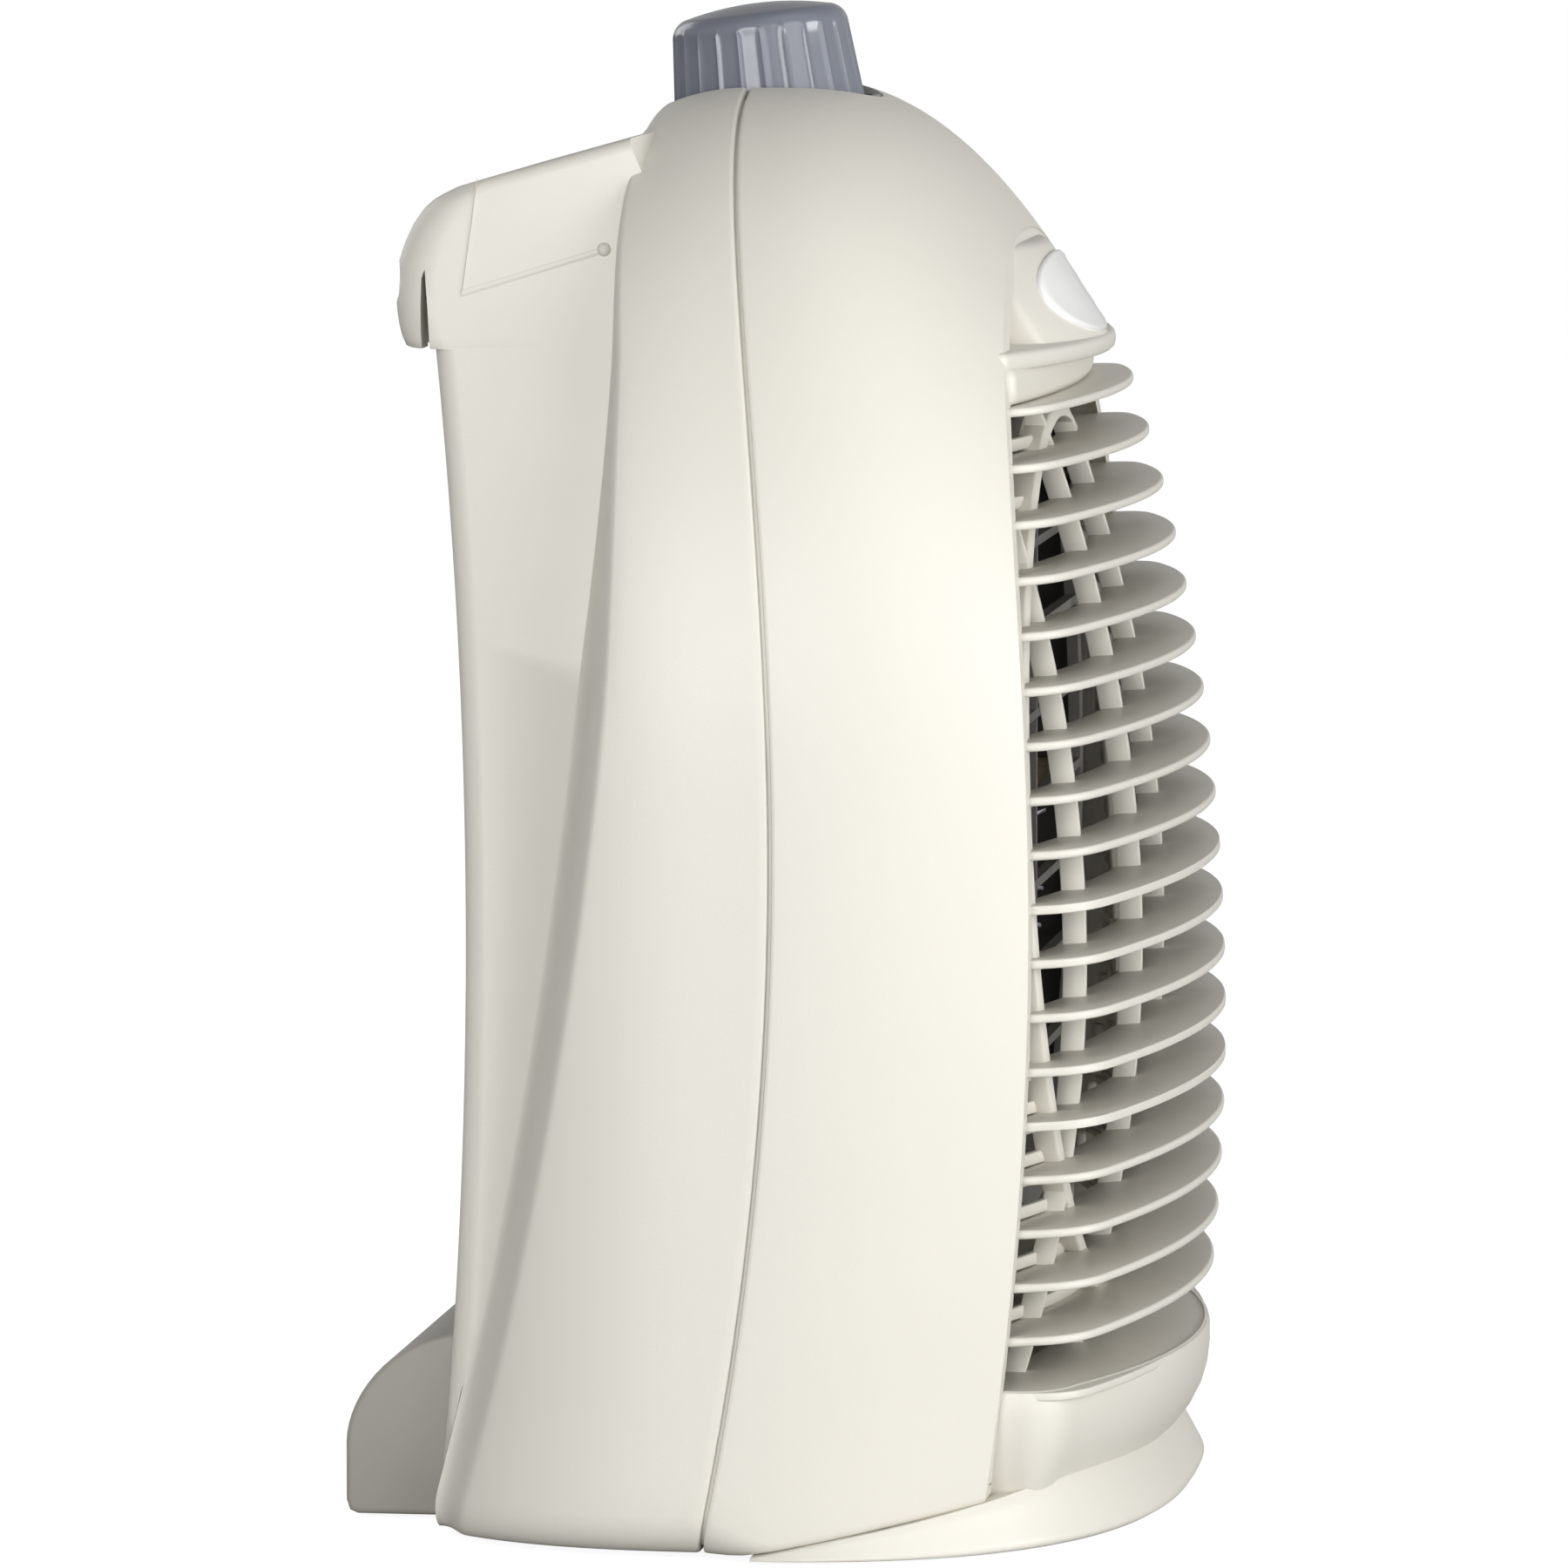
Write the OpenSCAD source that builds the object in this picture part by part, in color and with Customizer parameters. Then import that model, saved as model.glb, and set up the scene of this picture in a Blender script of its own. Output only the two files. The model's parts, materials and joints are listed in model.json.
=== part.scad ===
// Upright fan heater: two plastic shells, a bowed louvre in front, a carry grip behind
// and one turning control on top. X is right seen from the front, -Y is the front, +Z is up.
// The origin lies on the ground under the middle of the body.

/* [Body] */
// Half of the body's width
half_w = 96; // [90:1:104]
// Height of the top of the arch above the ground
body_h = 245.5; // [240:0.5:255]
// Height at which the straight sides turn into the arch
spring_h = 130; // [115:1:140]
// Height of the shells' flat bottom above the ground
foot_h = 1; // [0.8:0.1:2]
// Radius of the shells' bottom edges
heel_r = 7; // [5:0.5:10]
// Wall of the plastic shells
wall = 2.5; // [2:0.1:3]
// Squareness of the arch
arch_n = 2.4; // [2.1:0.1:2.8]

/* [Seam and rims] */
// Depth coordinate of the seam where it bows furthest forward
seam_y = -11; // [-13:0.5:-8]
// Depth coordinate of the front rim where it bows furthest forward
rim_y = -52.6; // [-54:0.2:-51]
// Half of the width of the front rim
rim_half_w = 80; // [78:0.5:84]
// Height of the top of the front rim
rim_h = 219.5; // [217:0.5:222]
// Width of the line between two shells
seam_gap = 0.6; // [0.4:0.1:1]

/* [Rear box] */
// Half of the width of the rear box at the ground
box_half_w = 74; // [72:0.5:76]
// Half of the width of the rear box at the top
box_top_half_w = 50; // [49:0.5:53]
// Depth coordinate of the rear wall at its most forward
box_y = 46.2; // [45.5:0.1:47.5]
// Radius of the upright rear edges
box_r = 4; // [3:0.5:6]
// Height of the top of the rear wall
box_h = 228; // [226:0.5:230]

/* [Carry grip] */
// Half of the width of the finger pocket
grip_half_w = 33; // [30:1:34]
// Depth of the finger pocket into the rear box
grip_depth = 24; // [20:1:26]
// Height of the pocket's floor
grip_floor_h = 178; // [174:1:184]
// Height of the lower edge of the grip's lip
lip_h = 201; // [198:0.5:204]
// Thickness of the grip's lip
lip_t = 2.6; // [2.2:0.1:3.2]
// Depth coordinate of the lip's outer face
lip_y = 60.6; // [60:0.1:62]

/* [Louvre] */
// Number of fins
fin_count = 18; // [14:1:18]
// Distance from one fin to the next
fin_pitch = 9.16; // [9:0.02:9.4]
// Thickness of a fin
fin_t = 1.5; // [1.2:0.1:2]
// Depth coordinate of the upright ribs at their most forward
grid_y = -63.7; // [-66:0.1:-62]
// Height of the top fin's outer end
fin_top_h = 191.5; // [190:0.5:192.5]
// Upward slope of the fins towards the front, in degrees
fin_tilt = 4; // [2:0.5:5]
// Radius of the louvre's bowed front seen from above
bow_r = 218; // [190:2:260]
// How far the louvre reaches forward at its fullest height
bow_y = 76.7; // [75:0.1:78]
// Height at which the louvre is fullest
bow_h = 77; // [70:1:90]
// Thickness of the upright ribs
rib_t = 2; // [1.6:0.1:2.6]

/* [Badge] */
// Half of the width of the badge plate
badge_a = 23; // [18:0.5:26]
// Half of the height of the badge plate
badge_b = 8.2; // [6:0.2:9]
// Thickness of the badge plate
badge_t = 1.2; // [1:0.1:2]

/* [Control] */
// Radius of the knob at its foot
knob_r = 16.7; // [15:0.1:17.5]
// Radius of the knob at its shoulder
knob_top_r = 14.9; // [13.5:0.1:15.4]
// Height of the knob
knob_h = 19; // [17:0.5:21]
// Number of grip flutes
flutes = 24; // [18:1:30]
// Lean of the knob to the rear in degrees
knob_lean = 7; // [0:0.5:9]
// Radius of the switch's spindle
spindle_r = 3; // [2.5:0.1:3.5]
// Inner radius of the cup around the knob
cup_r = 18; // [17.8:0.1:18.6]

/* [Fan] */
// Height of the fan's axis
axis_h = 120; // [116:1:124]
// Radius of the fan blades
fan_r = 66; // [60:0.5:68]
// Number of fan blades
blades = 7; // [5:1:9]
// Inner radius of the round air duct
duct_r = 69; // [68.5:0.5:71]
// Wall of the air duct
duct_t = 2; // [1.6:0.1:2.4]
// Radius of the motor's shaft
shaft_r = 2; // [1.5:0.1:2.5]
// Radius of the motor's rotor
rotor_r = 13.6; // [12:0.1:14.5]
// Thickness of the motor's core
stack_t = 16; // [12:1:18]

/* [Heater] */
// Radius of the outer ring of heating coil
outer_ring_r = 52; // [48:1:56]
// Radius of the inner ring of heating coil
inner_ring_r = 30; // [26:1:34]
// Number of curls on the outer ring
outer_curls = 44; // [30:1:48]
// Number of curls on the inner ring
inner_curls = 26; // [18:1:30]
// Radius of one curl, at the middle of the wire
curl_r = 4; // [3:0.2:4.6]
// Radius of the resistance wire
wire_r = 0.6; // [0.4:0.1:0.8]
// Thickness of the mica cards
mica_t = 1; // [0.8:0.1:1.4]
// Depth of the mica cards
mica_depth = 13.5; // [12:0.5:14]

/* [Screws and cord inlet] */
// Radius of the case screws' shank
screw_r = 1.75; // [1.4:0.05:2]
// Radius of the screw posts
post_r = 4.8; // [4.4:0.1:5.5]
// Radius of the hole in the cord inlet bush
cord_hole_r = 3.6; // [3:0.1:4.5]

/* [Clearances] */
// Clearance of a turning fit, on the radius
run_gap = 0.05; // [0.02:0.01:0.08]
// Clearance of a seated part
seat_gap = 0.3; // [0.2:0.05:0.4]

/* [Hidden] */

// Shift that brings the middle of the body's depth over the origin
foot_back_y = 68.2;
body_y = (bow_y - foot_back_y) / 2 - 0.13;
module placed() {
  translate([0, body_y, 0])
    children();
}

cream = [0.86, 0.85, 0.8];
grey_blue = [0.55, 0.57, 0.61];
steel = [0.72, 0.72, 0.73];
fine = 64;
// Reach of the cuts that run right through
cut_l = 100;

// Places worked out from the driving sizes
seam_bend = 0.0009;
seam_mid_h = 118;
rim_bend = 0.00078;
rim_mid_h = 105;
rim_power = 2.2;
crown_power = 2.9;
base_slope = 0.2;
base_start = 7;
base_rise = 10.5;
base_b = 72.6;
sill_h = base_rise + 1;
rear_b = 60;
plan_n = 2.6;
arch_steps = 12;
heel_steps = 4;

function lerp(a, b, t) = a + (b - a) * t;
function seam_at(z) = seam_y + seam_bend * pow(z - seam_mid_h, 2);
function rim_at(z) = rim_y + rim_bend * pow(z - rim_mid_h, 2);
function base_at(y) = foot_h + min(base_rise, base_slope * max(0, -base_start - y));

// Rear end of the bulged sides: far back at the ground, sweeping forward above
sweep_top_y = 22.5;
sweep_reach = 26.5;
sweep_end_h = 200;
sweep_power = 1.74;
sweep_drop = 0.004;
heel_pull = 5;
sweep_drop_h = 215;
function sweep_at(z) = sweep_top_y + sweep_reach * pow(max(0, 1 - z / sweep_end_h), sweep_power)
  - sweep_drop * pow(max(0, z - sweep_drop_h), 2)
  - heel_pull * pow(max(0, 1 - (z - foot_h) / heel_r), 2);

// Right half of an upright outline from the bottom to the crown, then its mirror image
function half_outline(w, top, bottom) = concat(
  [[0, bottom]],
  [for (k = [0:heel_steps - 1]) let (a = 90 * k / (heel_steps - 1))
    [w - heel_r + heel_r * sin(a), bottom + heel_r * (1 - cos(a))]],
  [[w, (bottom + spring_h) / 2]],
  [for (k = [0:arch_steps - 1]) let (a = 90 * k / (arch_steps - 1))
    [w * pow(max(0, cos(a)), 2 / arch_n), spring_h + (top - spring_h) * pow(sin(a), 2 / arch_n)]]);
function outline(w, top, bottom) = let (h = half_outline(w, top, bottom), n = len(h))
  concat(h, [for (k = [n - 2:-1:1]) [-h[k][0], h[k][1]]]);

// Skins: t runs from the seam to the front rim, or from the seam to the rear sweep
function front_w(t) = half_w - (half_w - rim_half_w) * pow(t, rim_power);
function front_top(t) = body_h - (body_h - rim_h) * pow(t, crown_power);
function front_ring(t, inset) =
  [for (p = outline(front_w(t) - inset, front_top(t) - inset,
    base_at(lerp(seam_at(sill_h), rim_at(sill_h), t)) + inset))
    [p[0], lerp(seam_at(p[1]) - seam_gap / 2, rim_at(p[1]), t), p[1]]];
function box_w(z) = lerp(box_half_w, box_top_half_w, z / box_slope_h);
function bulge_w(y) = half_w * pow(1 - pow(max(0, y) / rear_b, plan_n), 1 / plan_n);
roll_start = 0.72;
function roll(t) = t <= roll_start ? 1
  : sqrt(max(0, 1 - pow((t - roll_start) / (1 - roll_start), 2)));
sweep_top_drop = 6;
crown_round = 2.5;
tuck = 1.2;
function rear_y(z, t) = lerp(seam_at(z) + seam_gap / 2, sweep_at(z), t);
function rear_ring(t, inset) =
  [for (p = outline(half_w, body_h - inset - sweep_top_drop * t * t - crown_round * (1 - roll(t)),
    foot_h + inset))
    let (y = rear_y(p[1], t),
      w_end = box_w(p[1]) - tuck,
      w = w_end + (bulge_w(y) - w_end) * roll(t) - inset)
    [p[0] * w / half_w, y - inset * (1 - roll(t)), p[1]]];

// A walled tube between an outer and an inner stack of rings
module walled(outer, inner) {
  n = len(outer[0]);
  m = len(outer);
  pts = concat([for (r = outer) each r], [for (r = inner) each r]);
  b = n * m;
  faces = concat(
    [for (j = [0:m - 2], i = [0:n - 1]) let (k = (i + 1) % n)
      each [[j * n + i, j * n + k, (j + 1) * n + k], [j * n + i, (j + 1) * n + k, (j + 1) * n + i]]],
    [for (j = [0:m - 2], i = [0:n - 1]) let (k = (i + 1) % n)
      each [[b + j * n + k, b + j * n + i, b + (j + 1) * n + i],
        [b + j * n + k, b + (j + 1) * n + i, b + (j + 1) * n + k]]],
    [for (i = [0:n - 1]) let (k = (i + 1) % n)
      each [[k, i, b + i], [k, b + i, b + k]]],
    [for (i = [0:n - 1]) let (k = (i + 1) % n, q = (m - 1) * n)
      each [[q + i, q + k, b + q + k], [q + i, b + q + k, b + q + i]]]);
  polyhedron(pts, faces, convexity = 8);
}

// Stands a shape that was drawn along Z so that it runs along +Y
module along_y() {
  rotate([-90, 0, 0])
    children();
}
module rod_y(r, y0, y1, x, z) {
  translate([x, y0, z])
    along_y()
      cylinder(r = r, h = y1 - y0, $fn = fine);
}
module box_at(x0, x1, y0, y1, z0, z1) {
  translate([x0, y0, z0])
    cube([x1 - x0, y1 - y0, z1 - z0]);
}

// The knob's own frame: local Z is the control's axis
knob_y = 2;
cup_floor_h = 236.3;
cup_t = 1.5;
module control_frame() {
  translate([0, knob_y, cup_floor_h])
    rotate([-knob_lean, 0, 0])
      children();
}
cup_hole_r = cup_r + cup_t + seat_gap;
cup_hole_sides = 40;
module cup_hole() {
  control_frame()
    translate([0, 0, -12])
      linear_extrude(height = 40)
        polygon([for (k = [0:cup_hole_sides - 1]) let (a = 360 * (k + 0.3) / cup_hole_sides)
          [cup_hole_r * cos(a), cup_hole_r * sin(a)]]);
}

// Rear box
rear_bend = 0.0005;
rear_mid_h = 85;
function rear_wall_at(z) = box_y + rear_bend * pow(z - rear_mid_h, 2);
box_front_y = 16;
box_slope_y = 24;
box_slope_h = 235.6;
wall_steps = 10;
function box_slope_at(y) = box_slope_h
  - (y - box_slope_y) * (box_slope_h - box_h) / (lip_top_y - box_slope_y);
// Plan of the box at one height, with round upright edges at the rear
corner_steps = 4;
function box_ring(z, inset) = let (w = box_w(z) - inset, r = box_r - inset,
  back = rear_wall_at(z) - inset)
  concat([[-w, box_front_y, z], [w, box_front_y, z]],
    [for (s = [1, -1], k = [0:corner_steps]) let (a = s > 0 ? 90 * k / corner_steps
      : 90 + 90 * k / corner_steps)
      [s * (w - r) + r * cos(a), back - r + r * sin(a), z]]);
module loft(rings) {
  n = len(rings[0]);
  m = len(rings);
  faces = concat(
    [[for (i = [0:n - 1]) i]],
    [for (j = [0:m - 2], i = [0:n - 1]) let (k = (i + 1) % n)
      each [[j * n + k, j * n + i, (j + 1) * n + i], [j * n + k, (j + 1) * n + i, (j + 1) * n + k]]],
    [[for (i = [0:n - 1]) m * n - 1 - i]]);
  polyhedron([for (r = rings) each r], faces, convexity = 6);
}
module box_solid(inset) {
  intersection() {
    translate([-box_half_w, 0, 0])
      rotate([90, 0, 90])
        linear_extrude(height = 2 * box_half_w)
          polygon([[box_front_y, foot_h + inset], [cut_l, foot_h + inset], [cut_l, box_slope_at(cut_l) - inset],
            [box_front_y, box_slope_at(box_front_y) - inset]]);
    loft([for (k = [0:wall_steps]) box_ring(lerp(0, body_h, k / wall_steps), inset)]);
  }
}

grip_back_y = lip_y - lip_t - grip_depth;
grip_t = 2;
grip_top_h = 222;
lip_round = 8;
lip_half_w = box_w(grip_top_h) - 0.3;

// Screw posts on the rear wall: four hold the shells together, four carry the fan housing
case_x = 52;
case_high_x = 45.5;
case_low_h = foot_h + wall + post_r - 0.6;
case_high_h = 212;
housing_x = 48;
housing_z = 57.5;
post_front_y = 3;
head_r = 3.2;
head_h = 2.4;
shank_reach = 14;
head_seat_y = 8;
case_places = [[-case_x, case_low_h], [case_x, case_low_h],
  [-case_high_x, case_high_h], [case_high_x, case_high_h]];
housing_places = [[-housing_x, axis_h - housing_z], [housing_x, axis_h - housing_z],
  [-housing_x, axis_h + housing_z], [housing_x, axis_h + housing_z]];

// Air intake in the rear wall
grille_half_w = 40;
grille_low_h = 54;
grille_high_h = 150;
grille_t = 2.4;
inlet_x = 48;
inlet_h = 42.5;
bush_r = 6.2;
bush_flange_r = 8.5;
bush_flange_t = 1.8;
inlet_wall_y = rear_wall_at(inlet_h);
bush_seat_y = inlet_wall_y + 0.6;

module rear_shell() {
  rings = [0, 0.3, 0.55, roll_start, 0.8, 0.88, 0.96, 1];
  color(cream)
    difference() {
      union() {
        walled([for (t = rings) rear_ring(t, 0)], [for (t = rings) rear_ring(t, wall)]);
        difference() {
          box_solid(0);
          box_solid(wall);
          intersection() {
            box_at(-box_half_w, box_half_w, 0, box_front_y + wall, foot_h + wall, body_h);
            loft([for (z = [0, body_h]) box_ring(z, wall + 0.01)]);
          }
        }
        // Finger pocket and the lip that the fingers hook behind
        intersection() {
          box_at(-grip_half_w - grip_t, grip_half_w + grip_t, grip_back_y - grip_t, cut_l,
            grip_floor_h - grip_t, grip_top_h + 4);
          box_solid(0);
        }
        grip_lip();
        for (p = case_places)
          rod_y(post_r, seam_at(p[1]) + seam_gap / 2, rear_wall_at(p[1]) - 1, p[0], p[1]);
        for (p = housing_places)
          rod_y(post_r, post_front_y, rear_wall_at(p[1]) - 1, p[0], p[1]);
      }
      box_at(-grip_half_w, grip_half_w, grip_back_y, lip_y - lip_t, grip_floor_h, grip_top_h);
      box_at(-grip_half_w, grip_half_w, lip_y - 2 * lip_t, cut_l, grip_floor_h, lip_h - 1);
      cup_hole();
      for (p = case_places) {
        rod_y(screw_r + seat_gap, -cut_l, cut_l, p[0], p[1]);
        rod_y(head_r + seat_gap, head_seat_y, cut_l, p[0], p[1]);
      }
      for (p = housing_places)
        rod_y(screw_r, post_front_y - 5, post_front_y + shank_reach, p[0], p[1]);
      box_at(-grille_half_w, grille_half_w, box_y - 2 * wall, cut_l, grille_low_h, grille_high_h);
      rod_y(bush_r + run_gap, inlet_wall_y - 2 * wall, cut_l, inlet_x, inlet_h);
    }
}

// The lip hangs from the top rear edge and leans back, with round upright corners at its ends
lip_top_y = 51;
module grip_lip() {
  straight = lip_half_w - lip_round;
  intersection() {
    union() {
      box_at(-straight, straight, 0, lip_y, lip_h, box_h + 1);
      box_at(-lip_half_w, lip_half_w, 0, lip_y - lip_round, lip_h, box_h + 1);
      for (s = [-1, 1])
        translate([s * straight, lip_y - lip_round, lip_h])
          cylinder(r = lip_round, h = box_h + 1 - lip_h, $fn = fine);
    }
    lip_bar();
  }
}
module lip_bar() {
  lean_y = lip_y - 2.4;
  translate([-lip_half_w, 0, 0])
    rotate([90, 0, 90])
      linear_extrude(height = 2 * lip_half_w)
        polygon([[lip_top_y - 3, box_h - 5], [lip_top_y - 3, box_h + 0.4], [lip_top_y + 1.5, box_h - 0.6],
          [lip_top_y + 5, box_h - 3.4], [lean_y, box_h - 8], [lip_y - 0.3, box_h - 12.5],
          [lip_y, box_h - 17], [lip_y - 0.8, lip_h + 3], [lip_y - 1.8, lip_h],
          [lip_y - lip_t - 1.4, lip_h], [lip_y - lip_t, lip_h + 10],
          [lip_y - lip_t - 2.5, grip_top_h - 4], [lip_y - lip_t - 7, grip_top_h]]);
}

// Height of the arch's wall over a place, measured some depth into the wall
function arch_at(x, depth) = spring_h + (body_h - depth - spring_h)
  * pow(1 - pow(x / (half_w - depth), arch_n), 1 / arch_n);
web_t = 2.4;
web_depth = 8;
boss_reach = 16;
module front_shell() {
  rings = [0, 0.2, 0.4, 0.55, 0.68, 0.78, 0.86, 0.93, 1];
  color(cream)
    difference() {
      union() {
        walled([for (t = rings) front_ring(t, wall)], [for (t = rings) front_ring(t, 0)]);
        for (p = case_places) {
          y1 = seam_at(p[1]) - seam_gap / 2;
          rod_y(post_r, y1 - boss_reach, y1, p[0], p[1]);
        }
        // Webs that tie the upper bosses to the crown
        for (s = [-1, 1])
          box_at(s * case_high_x - web_t / 2, s * case_high_x + web_t / 2,
            seam_at(case_high_h) - seam_gap / 2 - web_depth, seam_at(case_high_h) - seam_gap / 2,
            case_high_h + 2, arch_at(case_high_x, wall / 2));
        // Bosses for the screws that hold the base plate
        for (s = [-1, 1])
          translate([s * base_screw_x, base_screw_y, base_at(base_screw_y) + wall / 2])
            cylinder(r = post_r, h = base_boss_h, $fn = fine);
      }
      cup_hole();
      for (s = [-1, 1])
        translate([s * base_screw_x, base_screw_y, 0])
          cylinder(r = screw_r, h = base_screw_end, $fn = fine);
      for (p = case_places)
        rod_y(screw_r, -boss_reach - shank_reach, cut_l, p[0], p[1]);
    }
}

// Louvre: fins on a frame that sits just inside the front rim
frame_gap = seat_gap;
frame_t = 2;
frame_inset = wall + frame_gap;
bow_bend = 0.00112;
bow_curl = 1.2e-8;
function louvre_y(z) = -(bow_y - bow_bend * pow(z - bow_h, 2) - bow_curl * pow(z - bow_h, 4));
function frame_half_w(z) = let (w = rim_half_w - frame_inset, top = rim_h - frame_inset)
  z <= spring_h ? w : w * pow(1 - pow((z - spring_h) / (top - spring_h), arch_n), 1 / arch_n);

module bow_plan(front, depth, half) {
  intersection() {
    difference() {
      translate([0, front + bow_r])
        circle(r = bow_r, $fn = 2 * fine);
      translate([0, front + bow_r])
        circle(r = bow_r - depth, $fn = 2 * fine);
    }
    translate([-half, front - 5])
      square([2 * half, bow_r]);
  }
}
// Side returns that carry a bowed front back to the frame
module return_plan(front, half, back, t) {
  side = front + bow_r - sqrt(bow_r * bow_r - half * half);
  for (s = [-1, 1])
    translate([s > 0 ? half - t : -half, side])
      square([t, back - side]);
}
// The upright ribs lie on a bowl behind the fins, and each fin ends just behind them
grid_bend = 0.0021;
grid_mid_h = 97;
rib_depth = 4;
function grid_at(z) = grid_y + grid_bend * pow(z - grid_mid_h, 2);
function fin_depth(z) = grid_at(z) + rib_depth / 2 - louvre_y(z);
fin_root = 3;
fin_end_w = 7.5;
fin_slack = 0.2;
module fin(z) {
  half = frame_half_w(z) - fin_slack;
  back = rim_at(z);
  translate([0, back, z - fin_t / 2])
    rotate([-fin_tilt, 0, 0])
      translate([0, -back, 0])
        linear_extrude(height = fin_t) {
          bow_plan(louvre_y(z), fin_depth(z), half);
          return_plan(louvre_y(z), half, back + fin_root, fin_end_w);
        }
}
bezel_h = 27.5;
bezel_t = 2.4;
bezel_step = 0.4;
bezel_shelf_t = 1.6;
bezel_half_w = frame_half_w(bezel_h);
nose_low_h = 196.5;
nose_top_h = rim_h - frame_inset;
nose_face_y = -56.6;
nose_depth = 16;
nose_chin_h = 5;
nose_chin_set = 0.7;
nose_lean_y = 10.6;
nose_crown_h = 1;
rib_x = [-52.5, -17.5, 17.5, 52.5];
function fin_z(i) = fin_top_h - i * fin_pitch;

module arch_prism(w, top, y0, y1) {
  translate([0, y1, 0])
    rotate([90, 0, 0])
      linear_extrude(height = y1 - y0)
        polygon(outline(w, top, foot_h + heel_r));
}

module front_louvre() {
  rings = [0.78, 0.89, 1];
  color(cream)
    difference() {
      union() {
        walled([for (t = rings) front_ring(t, frame_inset + frame_t)],
          [for (t = rings) front_ring(t, frame_inset)]);
        for (i = [0:fin_count - 1])
          fin(fin_z(i));
        for (x = rib_x)
          louvre_rib(x);
        oval_ring();
        bezel();
        nose();
      }
      badge_space(badge_t / 2, seat_gap / 2);
      // Room for the guard and the duct behind the fins
      rod_y(duct_r + duct_t + 2 * seat_gap, guard_y - seat_gap, 0, 0, axis_h);
    }
}

// Upright rib that ties the fins together at their back edges
module louvre_rib(x) {
  low = 18;
  high = fin_top_h + 3;
  steps = 8;
  translate([x - rib_t / 2, bow_side(x), 0])
    rotate([90, 0, 90])
      linear_extrude(height = rib_t)
        polygon(concat(
          [for (k = [0:steps]) let (z = lerp(low, high, k / steps)) [grid_at(z) - rib_depth / 2, z]],
          [for (k = [steps:-1:0]) let (z = lerp(low, high, k / steps)) [grid_at(z) + rib_depth / 2, z]]));
}

// Bezel: the plain band under the lowest fin, down to the base
module bezel() {
  front = louvre_y(bezel_h) - bezel_step;
  // Below the straight part of the rim the band's ends stop short of the shell's round heel
  heel_top_h = sill_h + heel_r;
  difference() {
    union() {
      translate([0, 0, foot_h])
        linear_extrude(height = bezel_h - foot_h) {
          bow_plan(front, bezel_t, bezel_half_w);
          return_plan(front, bezel_half_w, rim_at(heel_top_h) - 2 * seat_gap, bezel_t);
        }
      translate([0, 0, heel_top_h])
        linear_extrude(height = bezel_h - heel_top_h)
          return_plan(front, bezel_half_w, rim_at(bezel_h) + fin_root, bezel_t);
    }
    translate([-half_w, 0, foot_h + seat_gap])
      rotate([90, 0, 90])
        linear_extrude(height = 2 * half_w)
          base_profile(box_front_y);
  }
  // Top flange of the band
  translate([0, 0, bezel_h - bezel_shelf_t])
    linear_extrude(height = bezel_shelf_t)
      bow_plan(front, fin_depth(bezel_h), bezel_half_w);
}

// Nose: the sloped brow above the fins that carries the badge
nose_half_w = 31;
panel_y = -43.5;
crown_back_y = -30;
brow_set = 10;
brow_sweep = 50;
// Space inside the frame that the brow and its panels fill
module crown_space() {
  arch_prism(rim_half_w - frame_inset - fin_slack, nose_top_h - fin_slack, -cut_l, crown_back_y);
}
module nose() {
  sweep = 2 * asin(nose_half_w / bow_r);
  intersection() {
    translate([0, nose_face_y + bow_r, 0])
      rotate([0, 0, -90 - sweep / 2])
        rotate_extrude(angle = sweep, $fn = 2 * fine)
          polygon([[bow_r - nose_depth, nose_low_h + 1.5], [bow_r - 1.6, nose_low_h],
            [bow_r, nose_low_h + nose_chin_h / 2], [bow_r - nose_chin_set, nose_low_h + nose_chin_h],
            [bow_r - nose_chin_set - nose_lean_y, nose_top_h - nose_crown_h],
            [bow_r - nose_depth, nose_top_h + 3]]);
    crown_space();
  }
  // Flat panel that closes the crown behind the brow
  intersection() {
    box_at(-half_w, half_w, panel_y, panel_y + frame_t, nose_low_h, body_h);
    crown_space();
  }
  // Rounded panel between the brow and the top fin
  intersection() {
    translate([0, nose_face_y + bow_r, 0])
      rotate([0, 0, -90 - brow_sweep / 2])
        rotate_extrude(angle = brow_sweep, $fn = 2 * fine)
          translate([bow_r - brow_set, 0])
            polygon([[-4, fin_top_h - 1], [2, fin_top_h - 1], [3.4, fin_top_h + 2.5],
              [2, nose_low_h + 3], [-4, nose_low_h + 3]]);
    crown_space();
  }
}
// Oval ring between the ribs, swept along the same bowl
oval_a = duct_r + duct_t + 3.5;
oval_b = 77;
oval_mid_h = 112;
oval_t = 2.4;
oval_steps = 48;
function bow_side(x) = bow_r - sqrt(bow_r * bow_r - x * x);
module oval_ring() {
  n = oval_steps;
  corners = [[0, -1], [0, 1], [1, 1], [1, -1]];
  pts = [for (k = [0:n - 1], c = corners) let (a = 360 * k / n,
    x = (oval_a - oval_t * c[0]) * cos(a), z = oval_mid_h + (oval_b - oval_t * c[0]) * sin(a))
    [x, grid_at(z) + bow_side(x) + c[1] * rib_depth / 2, z]];
  faces = [for (k = [0:n - 1], j = [0:3]) let (
    a = 4 * k + j, b = 4 * k + (j + 1) % 4, c = 4 * ((k + 1) % n) + j, d = 4 * ((k + 1) % n) + (j + 1) % 4)
    each [[a, c, d], [a, d, b]]];
  polyhedron(pts, faces, convexity = 6);
}

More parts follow.
